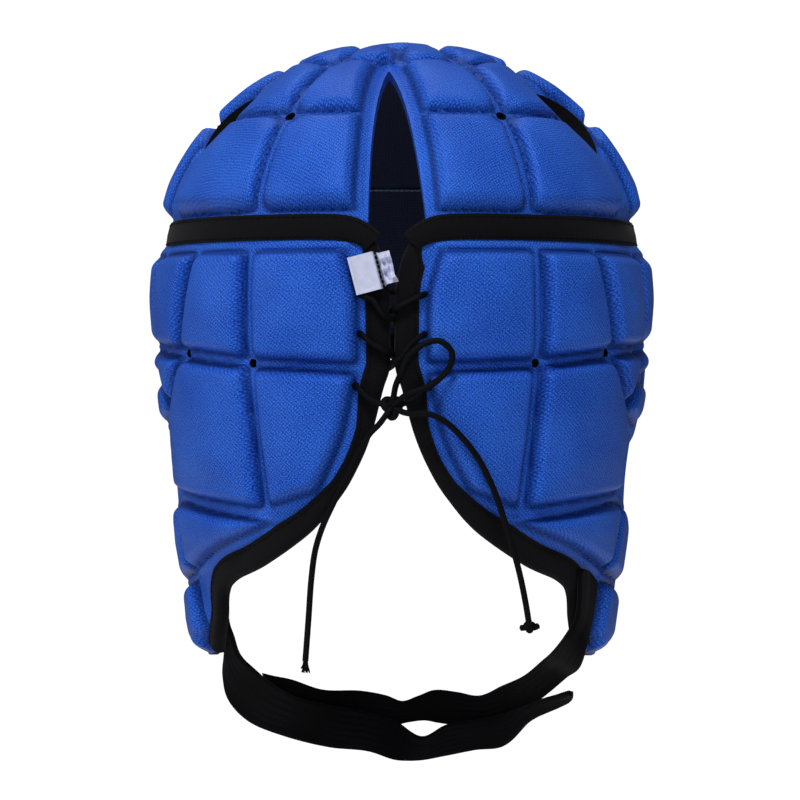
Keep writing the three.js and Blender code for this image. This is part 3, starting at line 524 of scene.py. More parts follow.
# From the middle of the bar behind the top, out and in through the eyelets, down to the knot.
LACE_STRAND = [
    (0, -92.2, -85), (6, -91.8, -85.5), (10, -91.4, -86), (11.2, -94, -86), (11.2, -98.4, -86.2),
    (9.6, -100.9, -86.8), (6.4, -101.4, -88.4), (2.9, -101.4, -90.2), (0.2, -99.1, -91.4),
    (-0.2, -94.7, -92.6), (-2.9, -92.1, -93.8), (-7.5, -91.4, -96.4), (-10, -91, -99.3),
    (-11.1, -93.7, -100), (-11.1, -97.9, -100.2), (-9.4, -100.4, -101.2), (-6.6, -100.6, -103.4),
    (-2.8, -100.4, -105.4), (-0.2, -98, -106.6), (0.2, -93.6, -107.8), (2.9, -91, -109.2),
    (8, -90, -113.4), (11.6, -89.2, -117.3), (12.9, -92, -118), (12.9, -96.4, -118.3),
    (11.2, -98.9, -119.4), (8.6, -99.4, -122), (4.8, -99.7, -124),
]
# Rows where the strand crosses the gap; there the other strand passes a little lower.
IN_GAP = {7, 8, 9, 10, 17, 18, 19, 20}

other_strand = [
    (-x, y, z - (CROSSING_DROP if i in IN_GAP else 0)) for i, (x, y, z) in enumerate(LACE_STRAND)
]
strand_path = catmull(other_strand[:0:-1] + LACE_STRAND, ROUTE_STEPS)
strand_parts = tube_parts(strand_path, LACE_RADIUS, LACE_SIDES)
lace_strands = make_piece("lace_strands", *strand_parts, [CLOTH["lace"]])
dress(lace_strands, ["lace_crossing"])

# %% Lace routes
LACE_LOOP = [
    (0.7, -101.3, -121.2), (1.4, -102.8, -118), (3.6, -105.4, -113), (5.8, -106.4, -108),
    (11.3, -106.4, -103.5), (16.9, -106, -102.5), (21, -105, -106.3), (20, -104.8, -112),
    (13.4, -104.8, -118), (5.4, -104.3, -121), (2.8, -102.2, -122.9),
]
LACE_END_LEFT = [
    (-2.6, -101.1, -129), (-4.4, -100.8, -131.4), (-8, -98.2, -135), (-11.4, -96, -140.5),
    (-16, -94.2, -149.6), (-20.7, -92, -158.8), (-25, -89.8, -168), (-27.5, -88.8, -176),
    (-28.9, -88.4, -186), (-29.9, -88.4, -200), (-31, -88.6, -215),
]
LACE_END_RIGHT = [
    (4, -101.3, -127.3), (7, -103, -127.8), (11.6, -103.8, -127.6), (17.8, -102.6, -130),
    (23.7, -100.6, -135.2), (30, -97.8, -143.3), (34.8, -94.6, -152.8), (38.6, -91.2, -163.4),
    (41.8, -87.8, -174), (44.6, -86.2, -184.6), (46.7, -85.6, -195), (48, -85.6, -203),
]
print("points of the lace:", len(LACE_LOOP), len(LACE_END_LEFT), len(LACE_END_RIGHT))

# %% Lace knots
KNOT_MIDDLE = np.array([0, -99.9, -125.4])
KNOT = {"scale": np.array([1.05, 0.9, 1.2]), "tilt": 0.4}
KNOT_RADIUS = 1.3
KNOT_BULGE = (0, -0.8, 0)
END_KNOT = {"scale": np.array([0.5, 0.5, 0.5]), "tilt": 1.1}
END_KNOT_RADIUS = 0.9
STUB_LENGTH = 3.1
STUB_CURVE = 0.4
STUB_DROP = 0.3
STUB_SIDES = 10
STUB_STEPS = 4


def overhand(middle, scale, tilt, steps=72):
    """The closed line of an overhand knot, seen along Y."""
    t = 2 * np.pi * np.arange(steps + 1) / steps + tilt
    shape = [np.sin(t) + 2 * np.sin(2 * t), np.sin(3 * t), np.cos(t) - 2 * np.cos(2 * t)]
    return middle + np.stack(shape, axis=1) * scale


knot_parts = [tube_parts(overhand(KNOT_MIDDLE, **KNOT), KNOT_RADIUS, LACE_SIDES)]
knot_ends = [LACE_LOOP[0], LACE_LOOP[-1], LACE_END_LEFT[0], LACE_END_RIGHT[0]]
for end in knot_ends + [LACE_STRAND[-1], other_strand[-1]]:
    middle = (KNOT_MIDDLE + np.array(end)) / 2 + KNOT_BULGE
    way = catmull([KNOT_MIDDLE, middle, end], ROUTE_STEPS)
    knot_parts.append(tube_parts(way, LACE_RADIUS, LACE_SIDES))
lace_bow_knot = make_piece("lace_bow_knot", *join_parts(knot_parts), [CLOTH["lace"]])
dress(lace_bow_knot, ["lace_knot"])

tip = np.array(LACE_END_RIGHT[-1])
end_parts = [tube_parts(overhand(tip, **END_KNOT), END_KNOT_RADIUS, STUB_SIDES)]
for side in (-1, 1):
    bend = (side * STUB_LENGTH / 2, STUB_CURVE, -STUB_DROP)
    stub = np.array([(0, 0, 0), bend, (side * STUB_LENGTH, 0, STUB_CURVE * side)]) + tip
    end_parts.append(tube_parts(catmull(stub, STUB_STEPS), LACE_RADIUS, STUB_SIDES))
lace_end_knot = make_piece("lace_end_knot", *join_parts(end_parts), [CLOTH["lace"]])
dress(lace_end_knot, [])

# %% Frayed end
FRAY_FIBRES = 28
FRAY_LENGTH = 4.2
FRAY_RADIUS = 0.26
FRAY_SIDES = 5
FRAY_STEPS = 3
FRAY_ROOT = {"spread": 0.7, "rise": 1.0}
FRAY_SPREAD = (0.2, 1.0)
FRAY_REACH = (0.6, 1.0)
FRAY_FLARE = (1.4, 2.4)
fray_random = np.random.default_rng(7)
fray_start = np.array(LACE_END_LEFT[-1])
fray_parts = []
for i in range(FRAY_FIBRES):
    turn = 2 * math.pi * i / FRAY_FIBRES
    out = np.array([math.cos(turn), math.sin(turn), 0]) * fray_random.uniform(*FRAY_SPREAD)
    reach = FRAY_LENGTH * fray_random.uniform(*FRAY_REACH)
    fibre = [
        fray_start + out * FRAY_ROOT["spread"] + (0, 0, FRAY_ROOT["rise"]),
        fray_start + out + (0, 0, -reach / 2),
        fray_start + out * fray_random.uniform(*FRAY_FLARE) + (0, 0, -reach),
    ]
    fray_parts.append(tube_parts(catmull(fibre, FRAY_STEPS), FRAY_RADIUS, FRAY_SIDES))
lace_fray = make_piece("lace_fray", *join_parts(fray_parts), [CLOTH["lace"]])
dress(lace_fray, [])

# %% Loop and tails
def free_cord(name, node, rows):
    path = catmull(rows, ROUTE_STEPS)
    piece = make_piece(name, *tube_parts(path, LACE_RADIUS, LACE_SIDES), [CLOTH["lace"]])
    dress(piece, [node])
    print(name, "length in mm", round(float(path_lengths(path)[-1]), 1))
    return piece


free_cord("lace_bow_loop", "lace_loop", LACE_LOOP)
free_cord("lace_tail_left", "lace_end_left", LACE_END_LEFT)
free_cord("lace_tail_right", "lace_end_right", LACE_END_RIGHT)

# %% [markdown]
# All the padding lies on one head form: a dome above the widest level and a slow taper below it. Writing
# the form as a formula means that a point of any panel is just an azimuth from the back, a level and a
# height above the lining, which is also how the maker's mould is described.

# %% Head form
HALF_WIDTH = 84
BACK_DEPTH = 95
FRONT_DEPTH = 97
CROWN_RISE = 85
EQUATOR_Z = -CROWN_RISE
PROFILE_POWER = 2.2
PLAN_POWER = 2.15
TAPER = 0.15
TAPER_START = 40
WALL = 3.5


def plan_radius(azimuth, grow):
    side = np.abs(np.sin(np.radians(azimuth))) / (HALF_WIDTH + grow)
    along = -np.cos(np.radians(azimuth))
    depth = np.where(along < 0, BACK_DEPTH, FRONT_DEPTH) + grow
    return (side**PLAN_POWER + (np.abs(along) / depth) ** PLAN_POWER) ** (-1 / PLAN_POWER)


def form_radius(azimuth, z, height):
    climb = np.clip((z - EQUATOR_Z) / (CROWN_RISE + height), 0, 1)
    share = (1 - climb**PROFILE_POWER) ** (1 / PROFILE_POWER)
    drop = np.maximum(EQUATOR_Z - z, 0)
    narrowing = TAPER * drop**2 / (drop + TAPER_START)
    return share * plan_radius(azimuth, height - narrowing)


def polar(azimuth, radius, z):
    turn = np.radians(azimuth)
    return np.stack([radius * np.sin(turn), -radius * np.cos(turn), z + 0 * radius], axis=-1)


def side_point(azimuth, z, height):
    return polar(azimuth, form_radius(azimuth, z, height), z)


def crown_point(azimuth, latitude, height):
    lat = np.radians(np.clip(latitude, 0, 90))
    share = np.cos(lat) ** (2 / PROFILE_POWER)
    z = EQUATOR_Z + (CROWN_RISE + height) * np.sin(lat) ** (2 / PROFILE_POWER)
    return polar(azimuth, share * plan_radius(azimuth, height), z)


print("widest radius in mm", round(float(form_radius(90, EQUATOR_Z, WALL)), 1))

# %% [markdown]
# A panel is cut from a flat grid. Cutting with booleans would leave slivers; instead each vertex knows
# how deep inside the panel it lies, triangles are clipped where that depth is zero, and vertices that
# are almost on the line are slid onto it. The same cut serves outlines, slits, vents and eyelets.

# %% Clipped grid
SNAP_SHARE = 0.3
SLOPE_STEP = 0.05
LEAST_SLOPE = 0.25


def clipped_grid(low, high, step, depth_at):
    """Flat points and triangles of a grid, kept where depth_at(points) is positive."""
    columns = np.arange(low[0], high[0] + step, step)
    rows = np.arange(low[1], high[1] + step, step)
    x, y = np.meshgrid(columns, rows, indexing="ij")
    flat = np.stack([x.ravel(), y.ravel()], axis=1)
    depth = depth_at(flat)
    near = np.abs(depth) < SNAP_SHARE * step
    slope = np.stack(
        [
            (depth_at(flat[near] + move) - depth_at(flat[near] - move)) / (2 * SLOPE_STEP)
            for move in ((SLOPE_STEP, 0), (0, SLOPE_STEP))
        ],
        axis=1,
    )
    size = np.maximum((slope**2).sum(axis=1), LEAST_SLOPE)
    flat[near] -= (depth[near] / size)[:, None] * slope
    depth[near] = 0
    number = np.arange(len(flat)).reshape(len(columns), len(rows))
    a, b, c, d = number[:-1, :-1], number[1:, :-1], number[1:, 1:], number[:-1, 1:]
    even = (np.add.outer(np.arange(len(columns) - 1), np.arange(len(rows) - 1)) % 2 == 0)[..., None]
    one = np.where(even, np.stack([a, b, c], -1), np.stack([a, b, d], -1)).reshape(-1, 3)
    two = np.where(even, np.stack([a, c, d], -1), np.stack([b, c, d], -1)).reshape(-1, 3)
    triangles = np.vstack([one, two])
    signs = depth[triangles]
    some = (signs > 0).any(axis=1)
    whole = some & (signs >= 0).all(axis=1)
    kept = triangles[whole].tolist()
    added, cuts = [], {}

    def cut(i, j):
        key = (min(i, j), max(i, j))
        if key not in cuts:
            cuts[key] = len(flat) + len(added)
            added.append(flat[i] + depth[i] / (depth[i] - depth[j]) * (flat[j] - flat[i]))
        return cuts[key]

    for corners in triangles[some & ~whole].tolist():
        ring = []
        for k in range(3):
            i, j = corners[k], corners[(k + 1) % 3]
            if depth[i] >= 0:
                ring.append(i)
            if depth[i] * depth[j] < 0:
                ring.append(cut(i, j))
        kept += [[ring[0], ring[k], ring[k + 1]] for k in range(1, len(ring) - 1)]
    points = np.vstack([flat] + ([np.array(added)] if added else []))
    used, kept = np.unique(np.array(kept), return_inverse=True)
    return points[used], kept.reshape(-1, 3)


def open_edges(triangles):
    """Directed edges that only one triangle has."""
    sides = np.vstack([triangles[:, [0, 1]], triangles[:, [1, 2]], triangles[:, [2, 0]]])
    count = triangles.max() + 1
    forward = sides[:, 0] * count + sides[:, 1]
    backward = sides[:, 1] * count + sides[:, 0]
    return sides[~np.isin(forward, backward)]


print("a vertex nearer the line than", SNAP_SHARE, "of a step slides onto it")

# %% Panel shell
def shell(name, triangles, outer, inner, cloth, edge, flip=False, knit_rim=None):
    """A panel of laminate: knit outside, lining inside, black cut edges, and knit round the rim if told."""
    count = len(outer)
    rim = open_edges(triangles)
    knit = triangles
    lining = triangles[:, ::-1] + count
    walls = np.stack([rim[:, 1], rim[:, 0], rim[:, 0] + count, rim[:, 1] + count], axis=1)
    if flip:
        knit, lining, walls = knit[:, ::-1], lining[:, ::-1], walls[:, ::-1]
    faces = knit.tolist() + walls.tolist() + lining.tolist()
    in_knit = np.zeros(len(walls), bool) if knit_rim is None else knit_rim[rim].all(axis=1)
    slots = [0] * len(knit) + np.where(in_knit, 0, 2).tolist() + [1] * len(lining)
    fabrics = [KNIT, CLOTH["lining"], CLOTH["tape"]]
    both = np.vstack([outer, inner])
    return make_piece(name, both, faces, np.vstack([cloth, cloth]), fabrics, slots, np.tile(edge, 2))


print("panels have", WALL, "mm walls")

# %% [markdown]
# Each pad is one cell between pressed channels. On the mould it is a flat-topped block with steep, rounded
# shoulders. A subdivision cage for every pad would be slow to draw; the height of the knit above the wall
# follows instead from the distance to the cell's edges, softened where two edges meet, so neighbouring
# pads always share a clean channel.

# %% Pad heights
CROWN_PADS = {"rise": 4.0, "shoulder": 3.8, "power": 2.2, "soft": 1.4, "channel": 1.2, "base": 2.2}
FLANK_PADS = {"rise": 5.5, "shoulder": 3.6, "power": 2.2, "soft": 0.8, "channel": 1.8, "base": 0.8}
CREASE = {"rise": 0.8, "half_width": 0.8}
PAD_CROWN = 1.3
CROWN_REACH = 16.0
BASE_REACH = 6.0
FAR_OUTSIDE = -40.0
EDGE_PRESS = 0.7
EDGE_ROUND = 2.5
EDGE_FLAT = 2.0
UNEVEN_SIZE = 17.0
UNEVEN_SHARE = 0.35
LATTICE_MIX = np.array([127.1, 311.7, 74.7])
LATTICE_SPREAD = 43758.5453


def smoothstep(values, low, high):
    t = np.clip((values - low) / (high - low), 0, 1)
    return t * t * (3 - 2 * t)


def cell_depth(x, y, corners, shape):
    """How deep each point lies inside a convex cell, less half the channel."""
    soft = shape["soft"]
    corners = np.asarray(corners, float)
    following = np.roll(corners, -1, axis=0)
    area = np.sum(corners[:, 0] * following[:, 1] - corners[:, 1] * following[:, 0])
    total = 0
    for (ax, ay), (bx, by) in zip(corners, following):
        length = math.hypot(bx - ax, by - ay) * math.copysign(1, area)
        distance = ((y - ay) * (bx - ax) - (x - ax) * (by - ay)) / length
        total = total + np.exp(-np.maximum(distance, FAR_OUTSIDE) / soft)
    return -soft * np.log(total) - shape["channel"]


def crease_rise(depth, shape):
    """A low ridge along the middle of each channel, where the knit is pinched up."""
    return CREASE["rise"] * np.exp(-(((depth + shape["channel"]) / CREASE["half_width"]) ** 2))


def pad_rise(depth, cut, lift, shape):
    """Height of the knit above the wall: depth in the pad, distance to a cut, room for the foam to lift."""
    climb = 1 - (1 - np.clip(depth / shape["shoulder"], 0, 1)) ** shape["power"]
    domed = PAD_CROWN * smoothstep(depth, shape["shoulder"] / 2, CROWN_REACH)
    press = EDGE_PRESS * (1 - smoothstep(cut, 0, EDGE_ROUND))
    return shape["rise"] * climb + domed + shape["base"] * smoothstep(lift, 0, BASE_REACH) - press


def lattice(corner):
    """A fixed number from -1 to 1 for each whole-numbered corner of space."""
    mixed = np.sin(corner @ LATTICE_MIX) * LATTICE_SPREAD
    return 2 * (mixed - np.floor(mixed)) - 1


def uneven(points, size):
    """Smooth, fixed unevenness in space, from -1 to 1, with bumps of about the size given."""
    place = np.asarray(points) / size
    corner = np.floor(place)
    share = place - corner
    share = share * share * (3 - 2 * share)
    total = 0
    for i in range(8):
        step = np.array([i & 1, (i >> 1) & 1, (i >> 2) & 1])
        weight = np.prod(np.where(step, share, 1 - share), axis=1)
        total = total + weight * lattice(corner + step)
    return total


pad_samples = np.array([3.0, 12.0])
pad_heights = pad_rise(pad_samples, pad_samples, pad_samples, FLANK_PADS)
print("side pad height 3 mm and 12 mm inside:", pad_heights.round(2))

# %% [markdown]
# The crown is the cap's top: petals parted by a V at the back and by slits at the sides, with rows of
# pads that shrink towards the top and a long tongue over the pole. A dome has no flat pattern, so the
# grid is laid out as a disc, the distance from the top measured along the surface. That keeps the mesh
# even over the pole, where rings of latitude would bunch up.

# %% Crown layout
CROWN_STEP = 1.1
CROWN_RIM_LATITUDE = 13.5
RIM_MM_PER_DEGREE = 1.6
# Azimuth of each slit and its half width in millimetres.
SLITS = {71.5: 9.5, 120: 7}
SLIT_LATITUDES = (31, 58)
SLIT_MARGIN = 6
SLIT_SLOPES = (0.9, 0.17)
SLIT_FLAT = 3.0
SLIT_LIFT = 1.2
SLIT_LIP = {"rise": 2.5, "reach": 8, "start": (0, 4), "last": 98}
V_FLAT = 4.5
CREASE_FADE = (2, 5)
BACK_SLIT = {"apex": 66, "half_width": 10.2, "full_at": 15, "bend": 1.25, "shifts": (-3.3, 1.6)}
ROW_BOTTOM, ROW_MIDDLE, ROW_TOP, ROW_HUB = 16, 42.5, 65.5, 80.5
BACK_EDGE = {ROW_BOTTOM: 5, ROW_MIDDLE: 4, ROW_TOP: 0}
FRONT_EDGE = 160
PETAL_COLUMNS = [30, 71.5, 98, 120, FRONT_EDGE]
FRONT_CORNER_LATITUDE = 79.5
VENT_AZIMUTHS = [30, 98]
VENT_RADIUS = 1.7
CROWN_VENT_RADIUS = 2.1
VENT_SLOPE = 0.35
BAND_HALF = 4.3
TONGUE = [(0, -17), (14, -5), (14, 41), (-14, 41), (-14, -5)]
TONGUE_DROP = 10
CHART_TOP = 89
LATITUDES = np.arange(91.0)


def arc_table(azimuth):
    return path_lengths(crown_point(azimuth, LATITUDES, WALL))


ARC_45 = arc_table(45)
RHO = ARC_45[-1] - ARC_45


def crown_place(flat):
    """Azimuth and latitude of points of the disc."""
    rho = np.hypot(flat[:, 0], flat[:, 1])
    azimuth = np.degrees(np.arctan2(flat[:, 0], -flat[:, 1]))
    return azimuth, np.interp(rho, RHO[::-1], LATITUDES[::-1])


def crown_chart(azimuth0):
    """A flat chart of the dome about one meridian, in millimetres."""
    arc = arc_table(azimuth0)
    reach = np.hypot(*crown_point(azimuth0, np.minimum(LATITUDES, CHART_TOP), WALL).T[:2])

    def flatten(azimuth, latitude):
        turn = (np.asarray(azimuth) - azimuth0 + 180) % 360 - 180
        x = np.radians(turn) * np.interp(latitude, LATITUDES, reach)
        return x, np.interp(latitude, LATITUDES, arc)

    return flatten


print("crown disc radius in mm", round(float(RHO[0]), 1))

# %% Crown pads
def crown_cells():
    """Each pad of the crown: its chart and its corners by azimuth and latitude."""
    cells = []

    def between(first, last, low, high, first_high=None):
        first_high = first if first_high is None else first_high
        for side in (1, -1):
            corners = [(first, low), (last, low), (last, high), (first_high, high)]
            cells.append((side * (first + last) / 2, [(side * a, b) for a, b in corners]))

    columns = PETAL_COLUMNS
    between(BACK_EDGE[ROW_BOTTOM], columns[0], ROW_BOTTOM, ROW_MIDDLE, BACK_EDGE[ROW_MIDDLE])
    between(BACK_EDGE[ROW_MIDDLE], columns[0], ROW_MIDDLE, ROW_TOP, BACK_EDGE[ROW_TOP])
    between(0, columns[0], ROW_TOP, ROW_HUB)
    for left, right in zip(columns, columns[1:]):
        first = left + (SLIT_MARGIN if left in SLITS else 0)
        last = right - (SLIT_MARGIN if right in SLITS else 0)
        between(first, last, ROW_BOTTOM, ROW_MIDDLE)
        between(first, last, ROW_MIDDLE, ROW_TOP)
        if right < FRONT_EDGE:
            between(left, right, ROW_TOP, ROW_HUB)
    corner = columns[-2]
    for side in (1, -1):
        corners = [(corner, ROW_TOP), (FRONT_EDGE, ROW_TOP), (corner, FRONT_CORNER_LATITUDE)]
        cells.append((side * (corner + FRONT_EDGE) / 2, [(side * a, b) for a, b in corners]))
    front = [FRONT_EDGE, 360 - FRONT_EDGE]
    for low, high in ((ROW_BOTTOM, ROW_MIDDLE), (ROW_MIDDLE, ROW_TOP)):
        cells.append((180, [(front[0], low), (front[1], low), (front[1], high), (front[0], high)]))
    return cells


print(len(crown_cells()), "pads and a tongue")

# %% Crown cuts
def crown_cuts(flat):
    """How far each point of the disc lies from the rim, the V, the slits and the vents."""
    azimuth, latitude = crown_place(flat)
    rim = (latitude - CROWN_RIM_LATITUDE) * RIM_MM_PER_DEGREE
    x, y = crown_chart(0)(azimuth, latitude)
    apex_y = crown_chart(0)(0, BACK_SLIT["apex"])[1]
    share = (BACK_SLIT["apex"] - latitude) / (BACK_SLIT["apex"] - BACK_SLIT["full_at"])
    opened = 1 - np.exp(-BACK_SLIT["bend"] * np.clip(share, 0, 1))
    half = BACK_SLIT["half_width"] * opened / (1 - math.exp(-BACK_SLIT["bend"]))
    half = np.where(share > 0, half, apex_y - y)
    shift = np.interp(share, (0, 1), BACK_SLIT["shifts"])
    back = np.where(np.abs(azimuth) < 90, np.abs(x - shift) - half, -FAR_OUTSIDE)
    slits = np.full(len(flat), -FAR_OUTSIDE)
    low, high = SLIT_LATITUDES
    for slit, half_width in SLITS.items():
        for side in (1, -1):
            chart = crown_chart(side * slit)
            x, y = chart(azimuth, latitude)
            low_y, high_y = chart(0, low)[1], chart(0, high)[1]
            share = (latitude - low) / (high - low)
            half = half_width * np.sin(np.pi * np.clip(share, 0, 1))
            half = half - np.maximum(0, np.maximum(y - high_y, low_y - y))
            slits = np.minimum(slits, np.abs(x) - half)
    vents = np.full(len(flat), -FAR_OUTSIDE)
    for vent in VENT_AZIMUTHS:
        for side in (1, -1):
            chart = crown_chart(side * vent)
            x, y = chart(azimuth, latitude)
            for row in (ROW_MIDDLE, ROW_TOP):
                vents = np.minimum(vents, np.hypot(x, y - chart(0, row)[1]) - CROWN_VENT_RADIUS)
    return rim, back, slits, vents


def crown_depth(flat):
    return np.minimum.reduce(crown_cuts(flat))


print("nearest cut to the pole in mm", crown_depth(np.zeros((1, 2))).round(1))

# %% Crown
def make_crown():
    reach = RHO[0]
    flat, triangles = clipped_grid((-reach, -reach), (reach, reach), CROWN_STEP, crown_depth)
    azimuth, latitude = crown_place(flat)
    inside = np.full(len(flat), FAR_OUTSIDE)
    for azimuth0, corners in crown_cells():
        chart = crown_chart(azimuth0)
        x, y = chart(azimuth, latitude)
        inside = np.maximum(inside, cell_depth(x, y, [chart(a, b) for a, b in corners], CROWN_PADS))
    top = crown_point(azimuth, latitude, WALL)
    tongue = cell_depth(top[:, 0], top[:, 1], TONGUE, CROWN_PADS)
    inside = np.maximum(inside, np.where(latitude > ROW_TOP - TONGUE_DROP, tongue, FAR_OUTSIDE))
    rim, back, slits, vents = crown_cuts(flat)
    crease = crease_rise(inside, CROWN_PADS) * smoothstep(np.minimum(back, slits), *CREASE_FADE)
    inside = np.minimum(inside, np.minimum(rim - BAND_HALF, back - V_FLAT))
    past = np.abs(azimuth) - min(SLITS)
    slope = np.where(past > 0, *SLIT_SLOPES)
    share = np.clip((latitude - SLIT_LATITUDES[0]) / (SLIT_LATITUDES[1] - SLIT_LATITUDES[0]), 0, 1)
    lip = SLIT_LIP["rise"] * np.sin(np.pi * share) * np.exp(-((slits / SLIT_LIP["reach"]) ** 2))
    lip = lip * smoothstep(past, *SLIT_LIP["start"]) * (np.abs(azimuth) < SLIT_LIP["last"])
    inside = np.minimum(inside, slope * (slits - SLIT_FLAT))
    inside = np.minimum(inside, VENT_SLOPE * (vents - EDGE_FLAT / 2))
    inside = inside + UNEVEN_SHARE * uneven(top, UNEVEN_SIZE)
    cut = np.minimum.reduce((rim, back, slits, vents))
    lift = np.minimum.reduce((rim - BAND_HALF, back, SLIT_LIFT * slope * slits))
    rise = pad_rise(inside, cut, lift, CROWN_PADS) + crease
    rise = np.maximum(rise, lip)
    outer = crown_point(azimuth, latitude, WALL + rise)
    inner = crown_point(azimuth, latitude, np.zeros(len(flat)))
    edge = np.abs(inside)
    by_the_v = back < EDGE_FLAT / 4
    return shell("crown_padding", triangles, outer, inner, flat, edge, knit_rim=by_the_v)


crown_padding = make_crown()
dress(crown_padding, ["crown"])

# %% [markdown]
# The lower panels wrap the sides of the head from the laced gap to the temple, with an ear flap and a
# hole over the ear; a brow panel closes the front. On the real cap each is one moulding with its own map
# of channels. The channels meet at named junctions here, and each pad lists the junctions at its corners,
# so one table draws every pad on both sides of the head.

# %% Edges of the lower panels
# Rows are an azimuth in degrees from the back and a level in millimetres.
BACK_EDGE_LINE = [
    (3.6, -67.05), (1.9, -74), (0.7, -84), (0.5, -97), (0.5, -111), (2, -119.5), (4.4, -134), (7.5, -146),
    (12, -157.5), (20, -170.5), (33, -182), (46, -188.5), (51.5, -193.5), (54, -202), (57.5, -209),
    (62, -215.5),
]
FLAP_BOTTOM = [(74, -217), (85, -217), (95, -215)]
FACE_EDGE_LINE = [
    (106, -212.5), (113, -203), (119, -186), (123, -166), (126, -146), (129, -129), (134, -116.5),
    (144, -109), (160, -106.5), (180, -106),
]
FACE_LINE = FACE_EDGE_LINE + [(360 - a, z) for a, z in FACE_EDGE_LINE[-2::-1]]
BINDING_WIDTH = 8.5
BACK_TAPE_LEVELS = [-218, -203, -192, -175, -165, -155, -146, -134, -123, -115, -74, -68]
BACK_TAPE_WIDTHS = [7, 7, 9, 9.3, 7.5, 5.6, 5.2, 5.8, 8, 8.5, 8.5, 5]
SEAM_AZIMUTH = 130
SEAM_HALF_GAP = 0.1
BAND_Z = -62
BAND_START = 4.2
GAP = 0.3
PANEL_TOP = BAND_Z - GAP / 2
PAST_PANEL = 20


def edge_curve(line, steps):
    """A smooth line through the rows, clamped at its ends, with its direction at each point."""
    p = np.asarray(line, float)
    p = np.vstack([p[0], p, p[-1]])
    points, tangents = [], []
    for i in range(1, len(p) - 2):
        p0, p1, p2, p3 = p[i - 1 : i + 3]
        v0, v1 = (p2 - p0) / 2, (p3 - p1) / 2
        last = i == len(p) - 3
        t = (np.arange(steps + last) / steps)[:, None]
        cube, square = 2 * p1 - 2 * p2 + v0 + v1, -3 * p1 + 3 * p2 - 2 * v0 - v1
        points.append(cube * t**3 + square * t**2 + v0 * t + p1)
        tangents.append(3 * cube * t**2 + 2 * square * t + v0)
    return np.vstack(points), np.vstack(tangents)


def in_from_edge(line, steps, distance):
    """Points of the form, a distance in from a panel's edge (to its left), by azimuth and level."""
    at, tangent = edge_curve(line, steps)
    scale = np.radians(1) * form_radius(at[:, 0], at[:, 1], WALL)
    along = unit(np.stack([tangent[:, 0] * scale, tangent[:, 1]], axis=1))
    return np.stack([at[:, 0] - distance * along[:, 1] / scale, at[:, 1] + distance * along[:, 0]], axis=1)


def back_tape_width(z):
    """The tape on the back edge is stretched narrow where the edge curves most."""
    return np.interp(z, BACK_TAPE_LEVELS, BACK_TAPE_WIDTHS)


def face_tape_width(z):
    return np.full(len(z), BINDING_WIDTH)


print("edges", len(BACK_EDGE_LINE), len(FACE_LINE), "rows")

# %% Pads of the lower panels
PANEL_STEP = 0.95
FLAT_RADIUS = 90.0
TAPE_INSET = 1.0
TAPE_MARGIN = 1.0
SOFTER_EARS = 0.5
EAR_REACH = 9.0
EAR_AZIMUTHS = (64, 82)
CREASE_CLEAR = (1, 4)
SIDE_BOTTOM = -222
BROW_BOTTOM = -132
EDGE_STEPS = 6
JUNCTIONS = {
    "bandGap": (9, -68.6), "gapUpper": (6, -86), "gapLower": (6, -112), "bandBack": (31, -68.6),
    "bandMid": (48, -68.6), "bandSide": (69, -68.6), "bandEar": (95, -68.6), "bandSeam": (129, -68.6),
    "midBack": (31.5, -110), "midSide": (55.5, -106), "midEar": (76, -104), "midFront": (97, -102),
    "midSeam": (128, -101), "napeUpper": (9.5, -137), "napeLower": (16, -157), "napeBack": (29.5, -163),
    "behindUpper": (66, -128), "behindLower": (70, -158), "earTopRear": (72.5, -115),
    "earTopFront": (97, -115), "earRear": (77.5, -134), "earFront": (95, -126), "earBottom": (92, -168),
    "templeLow": (120, -118), "cheekHigh": (116, -161), "cheekEar": (107, -146), "flapRear": (65, -187),
    "mastoidTip": (23.5, -166), "mastoidTop": (71.5, -158), "mastoidLow": (67, -187),
    "flapMid": (91, -193), "flapFront": (112, -189), "flapHeel": (60, -224), "flapSole": (90, -224),
    "flapToe": (106, -218),
}
SIDE_PADS = {
    "back": ["bandGap", "bandBack", "midBack", "gapLower", "gapUpper"],
    "back side": ["bandBack", "bandMid", "midSide", "midBack"],
    "side": ["bandMid", "bandSide", "midEar", "midSide"],
    "above ear": ["bandSide", "bandEar", "midFront", "midEar"],
    "temple": ["bandEar", "bandSeam", "midSeam", "midFront"],
    "nape": ["gapLower", "midBack", "napeBack", "napeLower", "napeUpper"],
    "back low": ["midBack", "midSide", "behindUpper", "behindLower", "napeBack"],
    "wedge": ["midSide", "midEar", "behindUpper"],
    "ear upper": ["midEar", "midFront", "earTopFront", "earTopRear"],
    "ear rear": ["earTopRear", "earTopFront", "earFront", "earRear", "behindUpper"],
    "ear front": ["midFront", "midSeam", "templeLow", "cheekEar", "earFront"],
    "mastoid": ["mastoidTip", "mastoidTop", "mastoidLow"],
    "flap back": ["behindLower", "earBottom", "flapMid", "flapRear"],
    "flap front": ["earBottom", "cheekHigh", "flapFront", "flapMid"],
    "flap heel": ["flapRear", "flapMid", "flapSole", "flapHeel"],
    "flap toe": ["flapMid", "flapFront", "flapToe", "flapSole"],
}
SIDE_VENTS = ["midBack", "midSide", "midEar"]
EYELETS = [(6.55, -86), (6.5, -100), (7.65, -118)]
EYELET_RADIUS = 1.25
EAR_HOLE = {"place": (92, -146), "half": (13.5, 16)}
BROW_PAD_AZIMUTHS = [131, 163, 197, 229]
BROW_PAD_LEVELS = (-97, -68.6)


print(len(SIDE_PADS), "pads on each side")

# %% Depth inside the lower panels
def unroll(azimuth, z):
    return np.stack([np.radians(azimuth) * FLAT_RADIUS, z + 0 * azimuth], axis=-1)


